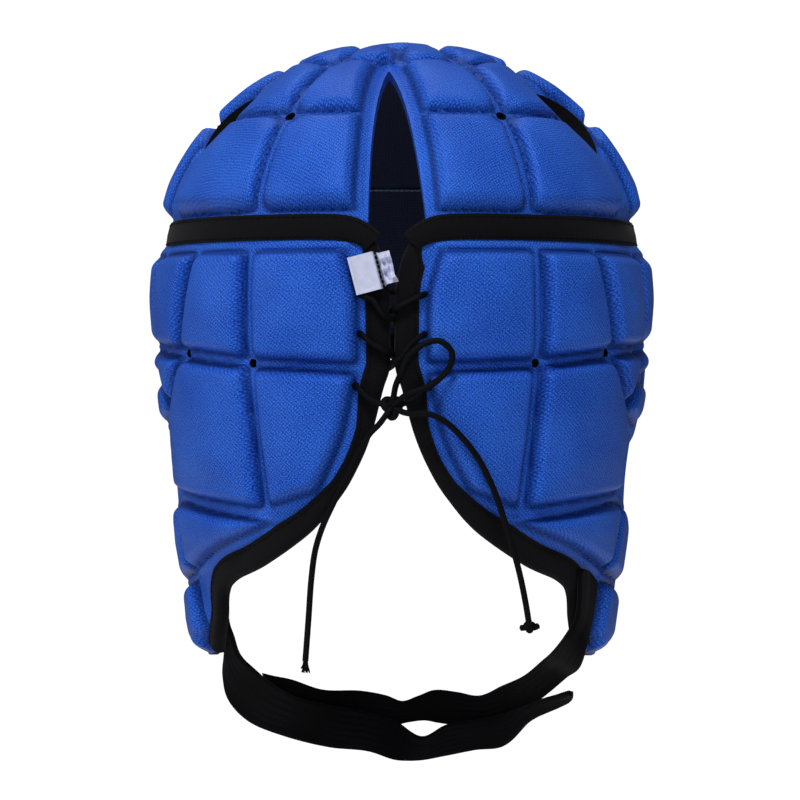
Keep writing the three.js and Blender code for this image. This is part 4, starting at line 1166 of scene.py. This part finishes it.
def segment_distance(flat, a, b):
    """Distance of each point to the straight line from a to b."""
    span = b - a
    share = np.clip(((flat - a) @ span) / (span @ span), 0, 1)
    return np.linalg.norm(flat - a - share[:, None] * span, axis=1)


def outline_depth(flat, outline):
    """Signed distance to a closed outline: positive inside it."""
    nearest = np.full(len(flat), np.inf)
    inside = np.zeros(len(flat), bool)
    for a, b in zip(outline, np.roll(outline, -1, axis=0)):
        nearest = np.minimum(nearest, segment_distance(flat, a, b))
        if b[1] != a[1]:
            crosses = (a[1] > flat[:, 1]) != (b[1] > flat[:, 1])
            where = a[0] + (flat[:, 1] - a[1]) / (b[1] - a[1]) * (b[0] - a[0])
            inside ^= crosses & (flat[:, 0] < where)
    return np.where(inside, nearest, -nearest)


def line_distance(flat, line):
    """Distance to an open line of points."""
    nearest = np.full(len(flat), -FAR_OUTSIDE)
    for a, b in zip(line, line[1:]):
        nearest = np.minimum(nearest, segment_distance(flat, a, b))
    return nearest


def lower_outline():
    back = in_from_edge(BACK_EDGE_LINE, EDGE_STEPS, TAPE_INSET)
    face = in_from_edge(FACE_LINE, EDGE_STEPS, TAPE_INSET)
    tab = BAND_START + GAP
    top = PANEL_TOP + PAST_PANEL
    past = face[-1][0] + PAST_PANEL
    start = [(tab, top), (tab, BACK_EDGE_LINE[0][1])]
    rows = np.vstack([start, back, FLAP_BOTTOM, face, [(past, face[-1][1]), (past, top)]])
    return unroll(rows[:, 0], rows[:, 1])


LOWER_OUTLINE = lower_outline()


def lower_depth(flat):
    """How deep inside the lower panels' free edges and top seam each point lies."""
    return np.minimum(outline_depth(flat, LOWER_OUTLINE), PANEL_TOP - flat[:, 1])


def round_depth(flat, place, half):
    centre = unroll(*place)
    scale = form_radius(place[0], place[1], WALL) / FLAT_RADIUS
    across = (flat - centre) * [scale, 1] / half
    return (np.hypot(across[:, 0], across[:, 1]) - 1) * min(half)


def pad_room(flat):
    """How deep each point lies inside a side panel, but for the eyelets."""
    seam = np.radians(SEAM_AZIMUTH - SEAM_HALF_GAP) * FLAT_RADIUS
    depth = np.minimum(lower_depth(flat), seam - flat[:, 0])
    depth = np.minimum(depth, round_depth(flat, EAR_HOLE["place"], EAR_HOLE["half"]))
    for name in SIDE_VENTS:
        depth = np.minimum(depth, round_depth(flat, JUNCTIONS[name], (VENT_RADIUS, VENT_RADIUS)))
    return depth


def side_depth(flat):
    depth = pad_room(flat)
    for place in EYELETS:
        depth = np.minimum(depth, round_depth(flat, place, (EYELET_RADIUS, EYELET_RADIUS)))
    return depth


def side_chart(azimuth0):
    def flatten(azimuth, z):
        return np.radians(azimuth - azimuth0) * form_radius(azimuth0, z, WALL), z

    return flatten


print("outline of", len(LOWER_OUTLINE), "points")

# %% Lower panels
def cells_depth(azimuth, z, cells):
    inside = np.full(len(azimuth), FAR_OUTSIDE)
    for corners in cells:
        chart = side_chart(np.mean([a for a, _ in corners]))
        x, y = chart(azimuth, z)
        flat_corners = [chart(a, b) for a, b in corners]
        inside = np.maximum(inside, cell_depth(x, y, flat_corners, FLANK_PADS))
    return inside


def lower_panel(name, flat, triangles, depth, cells, side):
    azimuth, z = np.degrees(flat[:, 0] / FLAT_RADIUS), flat[:, 1]
    wall = side_point(side * azimuth, z, WALL)
    inside = cells_depth(azimuth, z, cells)
    crease = crease_rise(inside, FLANK_PADS)
    inside = np.minimum(inside, depth - EDGE_FLAT / 2)
    inside = inside + UNEVEN_SHARE * uneven(wall, UNEVEN_SIZE)
    ears = SOFTER_EARS * smoothstep(azimuth, *EAR_AZIMUTHS)
    inside = inside * (1 - ears / 2)
    lift = depth
    for line, width in ((BACK_EDGE_LINE, back_tape_width), (FACE_LINE, face_tape_width)):
        row = in_from_edge(line, EDGE_STEPS, 0)
        clear = line_distance(flat, unroll(row[:, 0], row[:, 1])) - width(z)
        inside = np.minimum(inside, clear - TAPE_MARGIN)
        lift = np.minimum(lift, clear)
        crease = crease * smoothstep(clear, *CREASE_CLEAR)
    rise = pad_rise(inside, depth, lift, FLANK_PADS) + crease
    rise = (1 - ears) * rise + ears * FLANK_PADS["rise"] * smoothstep(lift, 0, EAR_REACH)
    outer = side_point(side * azimuth, z, WALL + rise)
    inner = side_point(side * azimuth, z, np.zeros(len(flat)))
    edge = np.abs(inside)
    cloth = flat * [side, 1]
    return shell(name, triangles, outer, inner, cloth, edge, flip=side < 0)


print("grid step of the lower panels in mm", PANEL_STEP)

# %% Side panels
side_low, side_high = unroll(0, SIDE_BOTTOM), unroll(SEAM_AZIMUTH, PANEL_TOP)
side_flat, side_triangles = clipped_grid(side_low, side_high, PANEL_STEP, side_depth)
side_cells = [[JUNCTIONS[name] for name in names] for names in SIDE_PADS.values()]
side_room = pad_room(side_flat)
for word, side in (("left", -1), ("right", 1)):
    name = f"side_padding_{word}"
    panel = lower_panel(name, side_flat, side_triangles, side_room, side_cells, side)
    dress(panel, [f"side_panel_{word}"])


print("side panels", len(side_flat), "points")

# %% Brow panel
def brow_depth(flat):
    middle = np.radians(180) * FLAT_RADIUS
    reach = np.radians(180 - SEAM_AZIMUTH - SEAM_HALF_GAP) * FLAT_RADIUS
    return np.minimum(lower_depth(flat), reach - np.abs(flat[:, 0] - middle))


brow_low, brow_high = unroll(SEAM_AZIMUTH, BROW_BOTTOM), unroll(360 - SEAM_AZIMUTH, PANEL_TOP)
brow_flat, brow_triangles = clipped_grid(brow_low, brow_high, PANEL_STEP, brow_depth)
brow_cells = []
low, high = BROW_PAD_LEVELS
for a, b in zip(BROW_PAD_AZIMUTHS, BROW_PAD_AZIMUTHS[1:]):
    brow_cells.append([(a, low), (b, low), (b, high), (a, high)])
brow_room = brow_depth(brow_flat)
brow_padding = lower_panel("brow_padding", brow_flat, brow_triangles, brow_room, brow_cells, 1)
dress(brow_padding, ["brow_panel"])

# %% [markdown]
# Small vents are punched where channels cross. The lining runs on behind them, so they look black even
# where the face opening lies beyond. A small disc of lining behind each vent does that.

# %% Lining behind the vents
VENT_LINING = {"radius": 3.2, "heights": (-0.2, -0.6), "sides": 14}
LATITUDE_STEP = float(RHO[0] - RHO[1])


def vent_disc(place_at, across, up):
    """Points, faces and cloth map of a disc; across and up are millimetres for a step of its place."""
    turn = 2 * np.pi * np.arange(VENT_LINING["sides"]) / VENT_LINING["sides"]
    x, y = VENT_LINING["radius"] * np.cos(turn), VENT_LINING["radius"] * np.sin(turn)
    return swept_parts([place_at(x / across, y / up, height) for height in VENT_LINING["heights"]])


def side_vent(side, azimuth, z):
    def place(x, y, height):
        return side_point(side * (azimuth + x), z + y, height)

    return vent_disc(place, np.radians(1) * form_radius(azimuth, z, 0), 1)


def crown_vent(side, azimuth, latitude):
    def place(x, y, height):
        return crown_point(side * (azimuth + x), latitude + y, height)

    reach = np.hypot(*crown_point(azimuth, latitude, 0)[:2])
    return vent_disc(place, np.radians(1) * reach, LATITUDE_STEP)


vent_discs = []
for side in (1, -1):
    vent_discs += [side_vent(side, *JUNCTIONS[name]) for name in SIDE_VENTS]
    vent_discs += [crown_vent(side, vent, row) for vent in VENT_AZIMUTHS for row in (ROW_MIDDLE, ROW_TOP)]
vent_lining = make_piece("vent_lining", *join_parts(vent_discs), [CLOTH["lining"]])
dress(vent_lining, [])

# %% [markdown]
# The raw edges are bound: a stretch tape is folded over the pressed edge and sewn through. It is swept
# here as a thin folded section that really wraps the panel, with a soft fold and a little pucker, because
# a flat black stripe would have no thickness at the silhouette.

# %% Bindings
BINDING_COVER = 0.9
TAPE_THICKNESS = 0.75
FOLD_STEPS = 7
FOLD_DEPTH = 2.6
FOLD_END = 5.5
LIP_ROUND = 0.2
PUCKER = 0.22
PUCKER_SIZE = 9.0
BINDING_STEPS = 10


def folded_section():
    """Closed outline of the folded tape: inset from the edge and height above the lining."""
    middle = WALL / 2
    half = WALL / 2 + BINDING_COVER
    thin = half - TAPE_THICKNESS
    lip = TAPE_THICKNESS / 2
    near, far = BINDING_WIDTH - LIP_ROUND, BINDING_WIDTH
    turn = np.linspace(-np.pi / 2, np.pi / 2, FOLD_STEPS)
    fold = FOLD_DEPTH * (1 - np.cos(turn))
    section = [(near, middle - half), (FOLD_END, middle - half)]
    section += list(zip(fold, middle + half * np.sin(turn)))
    section += [(FOLD_END, middle + half), (near, middle + half)]
    section += [(far, middle + half - lip), (near, middle + thin), (FOLD_END, middle + thin)]
    section += list(zip(TAPE_THICKNESS + fold, middle + thin * np.sin(turn)))[::-1]
    return section + [(FOLD_END, middle - thin), (near, middle - thin), (far, middle - half + lip)]


def tape(name, node, lines, section, side, pucker, pucker_size):
    """A tape along lines on the head form, one for each point of its section, a little puckered."""
    rings = np.stack(
        [side_point(side * row[:, 0], row[:, 1], height) for row, (_, height) in zip(lines, section)],
        axis=1,
    )
    middle = rings.mean(axis=1)
    move = pucker * uneven(middle, pucker_size)[:, None] * unit(middle * [1, 1, 0])
    piece = make_piece(name, *swept_parts(rings + move[:, None, :]), [CLOTH["tape"]])
    return dress(piece, [node])


def binding(name, node, line, side, width_at):
    section = folded_section()
    fold = FOLD_DEPTH + TAPE_THICKNESS
    widths = width_at(edge_curve(line, BINDING_STEPS)[0][:, 1])
    stretch = (widths - fold) / (BINDING_WIDTH - fold)
    lines = []
    for inset, _ in section:
        past = max(inset - fold, 0)
        lines.append(in_from_edge(line, BINDING_STEPS, inset - past + past * stretch))
    return tape(name, node, lines, section, side, PUCKER, PUCKER_SIZE)


for word, side in (("left", -1), ("right", 1)):
    binding(f"back_edge_tape_{word}", f"back_binding_{word}", BACK_EDGE_LINE, side, back_tape_width)
binding("face_edge_tape", "face_binding", FACE_LINE, 1, face_tape_width)

# %% [markdown]
# A broad tape hides the seam between the crown and the lower panels. At the back gap it bends down and
# runs into the bindings, so its middle line dips there. The tape follows the head form by azimuth and
# level, like everything else.

# %% Seam band
BAND_WIDTH = 9.5
BAND_HEIGHTS = (WALL + 0.3, WALL + 1.5)
BAND_ROUND = [(0, 0), (0.2, 0.95), (1.2, 1.2)]
BAND_DOME = 0.12
BAND_LINE = [(4, -67.8), (5.6, -65.4), (8, -63.5), (11.5, -62.4), (16, -62.1)]
BAND_LINE += [(24, BAND_Z), (60, BAND_Z), (120, BAND_Z)]
BAND_ROWS = BAND_LINE + [(180, BAND_Z)] + [(360 - a, z) for a, z in BAND_LINE[::-1]]
BAND_STEPS = 14
BAND_END = 0.8
BAND_TAPER = 9
BAND_PUCKER = 0.18
BAND_PUCKER_SIZE = 7.0


def band_line(shift):
    """A line along the band, shifted from its middle; near the ends the shift is less."""
    run = path_lengths(edge_curve(BAND_ROWS, BAND_STEPS)[0])
    narrow = BAND_END + (1 - BAND_END) * smoothstep(np.minimum(run, run[-1] - run), 0, BAND_TAPER)
    return in_from_edge(BAND_ROWS, BAND_STEPS, shift * narrow)


def seam_band():
    low, high = BAND_HEIGHTS
    half = BAND_WIDTH / 2
    rising = [(-half + inset, low + rise) for inset, rise in BAND_ROUND]
    falling = [(-shift, height) for shift, height in rising[::-1]]
    section = rising + [(0, high + BAND_DOME)] + falling
    lines = [band_line(shift) for shift, _ in section]
    return tape("seam_tape", "seam_band", lines, section, 1, BAND_PUCKER, BAND_PUCKER_SIZE)


seam_band()

# %% [markdown]
# The chin strap is two lengths of soft hook-and-loop tape that overlap under the chin. Cloth that hangs in
# folds has no neat path, so each length is drawn by its two edges, and a ribbon with rounded sides is
# stretched between them. Long shallow folds along it come from a fixed unevenness that is much longer
# than it is wide.

# %% Chin strap edges
STRAP_THICKNESS = 1.9
STRAP_SMOOTH = 10
STRAP_FOLD = 0.55
FOLD_SIZES = (26.0, 3.4)
TIP_ROUND = 3.5
TIP_HALF = 1.2
SIDE_ROUND = 1
STRAP_COLUMNS = [0.85, 0.6, 0.3, 0, -0.3, -0.6, -0.85]
ROUND_SIDE = [(0.0, -1.0), (0.5, -0.85), (0.85, -0.5), (1.0, 0.0), (0.85, 0.5), (0.5, 0.85), (0.0, 1.0)]
# Each row is a point of the upper edge and one of the lower edge.
LEFT_STRAP = [
    ((-64, -34.5, -195), (-68.2, -18.5, -195)),
    ((-62.8, -33, -205), (-66.9, -17.5, -205)),
    ((-61.2, -30.5, -209.5), (-65, -16.5, -214)),
    ((-59, -25, -216.5), (-66.2, -10.5, -225)),
    ((-53.5, -15, -223), (-65, -3, -234.5)),
    ((-47, -2, -229.5), (-58, 6, -243.5)),
    ((-39, 12, -235), (-45, 17, -250)),
    ((-26.5, 26, -239), (-28.5, 28, -255)),
    ((-13.5, 33, -242), (-14, 34, -257)),
    ((-3.5, 36, -245.5), (-3.5, 36.5, -260.5)),
    ((6.5, 34, -251), (5.5, 41, -261)),
    ((15.5, 33, -246.5), (15, 38, -259)),
    ((28, 27, -244), (27, 32, -256)),
    ((41, 17, -240), (37.5, 23, -254)),
    ((50.5, 3, -235), (47.5, 12, -244)),
    ((59, -12, -231.5), (57.5, -2, -238)),
    ((63.5, -19, -229.8), (64, -9, -234.2)),
]
RIGHT_STRAP = [
    ((-52, 3, -225.5), (-50.5, 12, -236)),
    ((-48.5, 8, -226.5), (-44.5, 18.5, -240.5)),
    ((-42, 17, -228.5), (-36, 26.5, -243)),
    ((-31, 28.5, -233), (-25, 33, -245)),
    ((-17.5, 37.5, -234), (-11.5, 37, -246)),
    ((-8, 41.5, -236), (-3, 39.5, -247)),
    ((-1.5, 44, -238.5), (1.5, 40, -246)),
    ((4.5, 44.5, -236.5), (7, 40.5, -245.5)),
    ((11, 42.5, -234), (13, 39.5, -246.5)),
    ((19.5, 39.5, -234.5), (21.5, 36, -247)),
    ((28, 34, -235.5), (32.5, 30.5, -245.5)),
    ((37, 23, -231), (44.5, 18.5, -240.5)),
    ((45.5, 7, -226), (54.5, 2, -232.5)),
    ((52, -11, -219.5), (62, -13, -225)),
    ((56.5, -33, -214), (66.5, -32, -220)),
    ((61.5, -48.5, -206.5), (68.9, -40, -211.5)),
    ((64.3, -51.1, -202), (70.7, -37.6, -202.5)),
    ((65.4, -51.7, -194), (71.9, -37.4, -194)),
    ((65.3, -55.2, -181.5), (72.6, -38.8, -188)),
]


print("strap edges of", len(LEFT_STRAP), "and", len(RIGHT_STRAP), "rows")

# %% Chin straps
def strap_section(half):
    """Outline of a ribbon with round sides: across it and out of it."""
    thick = STRAP_THICKNESS / 2
    section = [(half - SIDE_ROUND + u, v * thick) for u, v in ROUND_SIDE]
    section += [(u * half, thick) for u in STRAP_COLUMNS]
    return np.array(section + [(-u, -v) for u, v in section])


def ribbon(name, node, rows):
    upper = catmull([row[0] for row in rows], STRAP_SMOOTH)
    lower = catmull([row[1] for row in rows], STRAP_SMOOTH)
    middle = (upper + lower) / 2
    along = unit(np.gradient(middle, axis=0))
    across = unit(upper - lower)
    out = unit(np.cross(along, across))
    length = path_lengths(middle)
    left = np.clip((length[-1] - length) / TIP_ROUND, 0, 1)
    half = np.linalg.norm(upper - lower, axis=1) / 2
    half = np.maximum(half * np.sqrt(1 - (1 - left) ** 2), TIP_HALF)
    rings = []
    for i, point in enumerate(middle):
        section = strap_section(half[i])
        place = np.zeros((len(section), 3))
        place[:, 0] = length[i] / FOLD_SIZES[0]
        place[:, 1] = section[:, 0] / FOLD_SIZES[1]
        fold = STRAP_FOLD * uneven(place, 1.0)
        rings.append(point + section[:, :1] * across[i] + (section[:, 1] + fold)[:, None] * out[i])
    piece = make_piece(name, *swept_parts(rings), [CLOTH["strap"]])
    print(name, "length in mm", round(float(length[-1])))
    return dress(piece, [node])


ribbon("chin_strap_right", "strap_right", RIGHT_STRAP)
ribbon("chin_strap_left", "strap_left", LEFT_STRAP)

# %% [markdown]
# A bare white label is caught in the left side of the gap. It is a strip of satin, flat on the binding and
# crumpled where it folds out of the gap, so it is a small sheet bent along a drawn profile.

# %% Label
LABEL_PLACE = np.array([-2.9, -102.9, -84])
LABEL_HEIGHT = 13.5
LABEL_TILT = math.radians(-14.5)
LABEL_TURN = math.radians(-4.5)
LABEL_THICKNESS = 0.35
LABEL_HEM = {"depth": 0.3, "levels": (0.6, 1.3), "end": (-3.0, -1.0)}
LABEL_CRUMPLE = {"start": (-0.8, 1.5), "out": 2.0, "out_size": 2.2, "along": 0.8, "along_size": 4.0}
LABEL_OTHER_PLACE = 40
LABEL_SHORTER = 0.16
LABEL_PROFILE = [
    (-9.7, -0.3), (-9.0, -0.35), (-8.4, 0), (-4.5, -0.1), (-0.8, 0), (-0.6, 1.6), (-0.3, 3.4), (0.3, 3.6),
    (0.6, 1.6), (1.2, 0.6), (2.0, 1.7), (3.0, 0.7), (4.0, 2.0), (5.0, 1.4),
]
LABEL_ROWS = 40


def label_front(profile, rows):
    """The label's face before it is turned: along X, out of it along Y and up Z."""
    front = np.zeros((len(profile), LABEL_ROWS, 3))
    front[..., 0] = profile[:, :1]
    front[..., 1] = profile[:, 1:]
    front[..., 2] = rows[None, :]
    hem = 1 - smoothstep(rows, *LABEL_HEM["levels"])
    hem = hem * (1 - smoothstep(front[..., 0], *LABEL_HEM["end"]))
    front[..., 1] -= LABEL_HEM["depth"] * hem
    crumple = smoothstep(front[..., 0], *LABEL_CRUMPLE["start"])
    flat = front.reshape(-1, 3)
    out = uneven(flat, LABEL_CRUMPLE["out_size"]).reshape(crumple.shape)
    front[..., 1] += crumple * LABEL_CRUMPLE["out"] * out
    along = uneven(flat + LABEL_OTHER_PLACE, LABEL_CRUMPLE["along_size"]).reshape(crumple.shape)
    front[..., 0] += crumple * LABEL_CRUMPLE["along"] * along
    front[..., 2] += crumple * LABEL_SHORTER * (LABEL_HEIGHT / 2 - rows)
    return front


def label_turn():
    """A turn about Z, then a tilt about Y."""
    c, s = math.cos(LABEL_TURN), math.sin(LABEL_TURN)
    turn = np.array([[c, -s, 0], [s, c, 0], [0, 0, 1]])
    c, s = math.cos(LABEL_TILT), math.sin(LABEL_TILT)
    return np.array([[c, 0, s], [0, 1, 0], [-s, 0, c]]) @ turn


def label_parts():
    profile = catmull([(x, y, 0) for x, y in LABEL_PROFILE], ROUTE_STEPS)[:, :2]
    length = path_lengths(profile)
    rows = np.linspace(0, LABEL_HEIGHT, LABEL_ROWS)
    front = label_front(profile, rows)
    back = front + [0, LABEL_THICKNESS, 0]
    points = np.vstack([front.reshape(-1, 3), back.reshape(-1, 3)])
    points = points @ label_turn().T + LABEL_PLACE
    count = len(profile) * LABEL_ROWS
    number = np.arange(count).reshape(len(profile), LABEL_ROWS)
    a, b, c, d = number[:-1, :-1], number[1:, :-1], number[1:, 1:], number[:-1, 1:]
    quads = np.stack([a, b, c, d], -1).reshape(-1, 4)
    ring = np.concatenate([number[:, 0], number[-1, 1:], number[-2::-1, -1], number[0, -2:0:-1]])
    after = np.roll(ring, -1)
    walls = np.stack([after, ring, ring + count, after + count], axis=1)
    faces = quads.tolist() + (quads[:, ::-1] + count).tolist() + walls.tolist()
    cloth = np.stack([np.repeat(length, LABEL_ROWS), np.tile(rows, len(profile))], axis=1)
    crease = number[np.argmin(np.abs(profile[:, 0])), 1:-1]
    return points, faces, np.vstack([cloth, cloth]), float(length[-1]), points[crease]


label_points, label_faces, label_cloth, label_length, label_crease = label_parts()
folded_label = make_piece("folded_label", label_points, label_faces, label_cloth, [CLOTH["satin"]])
dress(folded_label, ["care_label"])

# %% [markdown]
# Hundreds of stitches run along the tapes. Placing them by hand is hopeless, so Geometry Nodes does it: a
# polyline becomes a curve, the curve is resampled at the stitch pitch, and a small bead of thread is set
# on each point along the curve's direction. The result is realized and turned into a plain mesh.

# %% Stitch tree
BEAD = {"Segments": 8, "Rings": 6, "Radius": 0.5}


def stitch_tree():
    tree = bpy.data.node_groups.new("stitches along a line", "GeometryNodeTree")
    face = tree.interface
    face.new_socket("Geometry", in_out="INPUT", socket_type="NodeSocketGeometry")
    for name in ("Pitch", "Length", "Width"):
        face.new_socket(name, in_out="INPUT", socket_type="NodeSocketFloat")
    face.new_socket("Thread", in_out="INPUT", socket_type="NodeSocketMaterial")
    face.new_socket("Geometry", in_out="OUTPUT", socket_type="NodeSocketGeometry")
    given = tree.nodes.new("NodeGroupInput").outputs
    curve = add_node(tree, "GeometryNodeMeshToCurve", inputs={"Mesh": given["Geometry"]})
    spacing = {"Curve": curve, "Length": given["Pitch"]}
    spaced = add_node(tree, "GeometryNodeResampleCurve", {"mode": "LENGTH"}, spacing)
    bead = add_node(tree, "GeometryNodeMeshUVSphere", inputs=BEAD, out="Mesh")
    along = {"Vector": add_node(tree, "GeometryNodeInputTangent")}
    turned = add_node(tree, "FunctionNodeAlignRotationToVector", {"axis": "Z"}, along)
    sizes = {"X": given["Width"], "Y": given["Width"], "Z": given["Length"]}
    size = add_node(tree, "ShaderNodeCombineXYZ", inputs=sizes)
    stitch = {"Points": spaced, "Instance": bead, "Rotation": turned, "Scale": size}
    placed = add_node(tree, "GeometryNodeInstanceOnPoints", inputs=stitch)
    real = add_node(tree, "GeometryNodeRealizeInstances", inputs={0: placed})
    thread = {"Geometry": real, "Material": given["Thread"]}
    dyed = add_node(tree, "GeometryNodeSetMaterial", inputs=thread)
    add_node(tree, "NodeGroupOutput", inputs={"Geometry": dyed})
    return tree


STITCHES = stitch_tree()


print("stitch tree has", len(STITCHES.nodes), "nodes")

# %% Sewing
def sew(name, lines, pitch, length, width, thread, slot):
    """Rows of stitches along lines of points in millimetres, as one plain mesh."""
    edges, start = [], 0
    for line in lines:
        edges += [(start + i, start + i + 1) for i in range(len(line) - 1)]
        start += len(line)
    mesh = bpy.data.meshes.new(name + "_lines")
    mesh.from_pydata((np.vstack(lines) * MM).tolist(), edges, [])
    guide = bpy.data.objects.new(name + "_guide", mesh)
    bpy.context.scene.collection.objects.link(guide)
    modifier = guide.modifiers.new("stitches", "NODES")
    modifier.node_group = STITCHES
    sizes = {"Pitch": pitch * MM, "Length": length * MM, "Width": width * MM, "Thread": thread}
    for item in STITCHES.interface.items_tree:
        if item.in_out == "INPUT" and item.name in sizes:
            modifier[item.identifier] = sizes[item.name]
    graph = bpy.context.evaluated_depsgraph_get()
    made = bpy.data.meshes.new_from_object(guide.evaluated_get(graph))
    bpy.data.objects.remove(guide)
    made.name = name
    places = np.empty(len(made.vertices) * 3, np.float32)
    made.vertices.foreach_get("co", places)
    lay_cloth(made, places.reshape(-1, 3)[:, [0, 2]] / MM)
    return dress(show(name, made), [])


print("stitch inputs:", [item.name for item in STITCHES.interface.items_tree])

# %% Stitches
TAPE_STITCH = {"pitch": 3.0, "length": 2.5, "width": 0.4}
STITCH_FROM_LIP = 1.6
BINDING_STITCH_HEIGHT = WALL + BINDING_COVER + 0.1
BAND_STITCH_SHIFT = 3.5
BAND_STITCH_HEIGHT = BAND_HEIGHTS[1] + 0.05
# Black stitches along the label's fold: partly the seam that holds the label, partly painted shade for the
# shadow in the fold.
LABEL_STITCH_AND_SHADE = {"pitch": 1.7, "length": 1.8, "width": 0.9}
LABEL_STITCH_AND_SHADE_LIFT = -2.6
SEAM_STITCH = {"pitch": 2.0, "length": 2.3, "width": 1.3}
LINING_SEAM = {"z": -40.5, "height": -0.25, "azimuths": (100, 260), "points": 120}

tape_lines = []
back_widths = back_tape_width(edge_curve(BACK_EDGE_LINE, BINDING_STEPS)[0][:, 1])
for side in (-1, 1):
    row = in_from_edge(BACK_EDGE_LINE, BINDING_STEPS, back_widths - STITCH_FROM_LIP)
    tape_lines.append(side_point(side * row[:, 0], row[:, 1], BINDING_STITCH_HEIGHT))
row = in_from_edge(FACE_LINE, BINDING_STEPS, BINDING_WIDTH - STITCH_FROM_LIP)
tape_lines.append(side_point(row[:, 0], row[:, 1], BINDING_STITCH_HEIGHT))
for shift in (-BAND_STITCH_SHIFT, BAND_STITCH_SHIFT):
    row = band_line(shift)
    tape_lines.append(side_point(row[:, 0], row[:, 1], BAND_STITCH_HEIGHT))
sew("tape_stitches", tape_lines, **TAPE_STITCH, thread=CLOTH["thread"], slot="edge_tape")

# A row of black thread along the label's fold, which also serves as painted shade where the fold is in
# shadow.
crease_line = label_crease + (0, LABEL_STITCH_AND_SHADE_LIFT, 0)
sew("label_stitches_and_crease_shade", [crease_line], **LABEL_STITCH_AND_SHADE, thread=CLOTH["thread"], slot="label_satin")

seam_azimuths = np.linspace(*LINING_SEAM["azimuths"], LINING_SEAM["points"])
seam_levels = np.full(LINING_SEAM["points"], LINING_SEAM["z"])
lining_seam = side_point(seam_azimuths, seam_levels, LINING_SEAM["height"])
sew("lining_seam", [lining_seam], **SEAM_STITCH, thread=CLOTH["seam"], slot="padded_fabric")

# %% [markdown]
# The cap hangs in the air as a head would hold it, so the floor is only a pale sheet of studio paper well
# below it. It isn't part of the object.

# %% Floor
FLOOR_Z = -0.42
FLOOR_HALF = 1.2
PAPER_GRAIN = 25 * MM


def studio_paper():
    material, tree, shader = new_material("studio paper, pale")
    place = add_node(tree, "ShaderNodeTexCoord", out="Object")
    noise = {"Vector": place, "Scale": 1 / PAPER_GRAIN}
    grain = add_node(tree, "ShaderNodeTexNoise", inputs=noise, out="Fac")
    tones = {MIX_FACTOR: grain, MIX_DARK: linear("#f0f0ef"), MIX_LIGHT: linear("#fafafa")}
    colour = add_node(tree, "ShaderNodeMix", COLOUR_MIX, tones, MIX_RESULT)
    set_inputs(tree, shader, {"Base Color": colour, "Roughness": 0.9})
    return material


floor_corners = [(x * FLOOR_HALF, y * FLOOR_HALF, FLOOR_Z) for x, y in ((-1, -1), (1, -1), (1, 1), (-1, 1))]
floor_mesh = bpy.data.meshes.new("floor")
floor_mesh.from_pydata(floor_corners, [], [(0, 1, 2, 3)])
floor_mesh.materials.append(studio_paper())
floor = bpy.data.objects.new("floor", floor_mesh)
bpy.context.scene.collection.objects.link(floor)
print("floor at", FLOOR_Z)
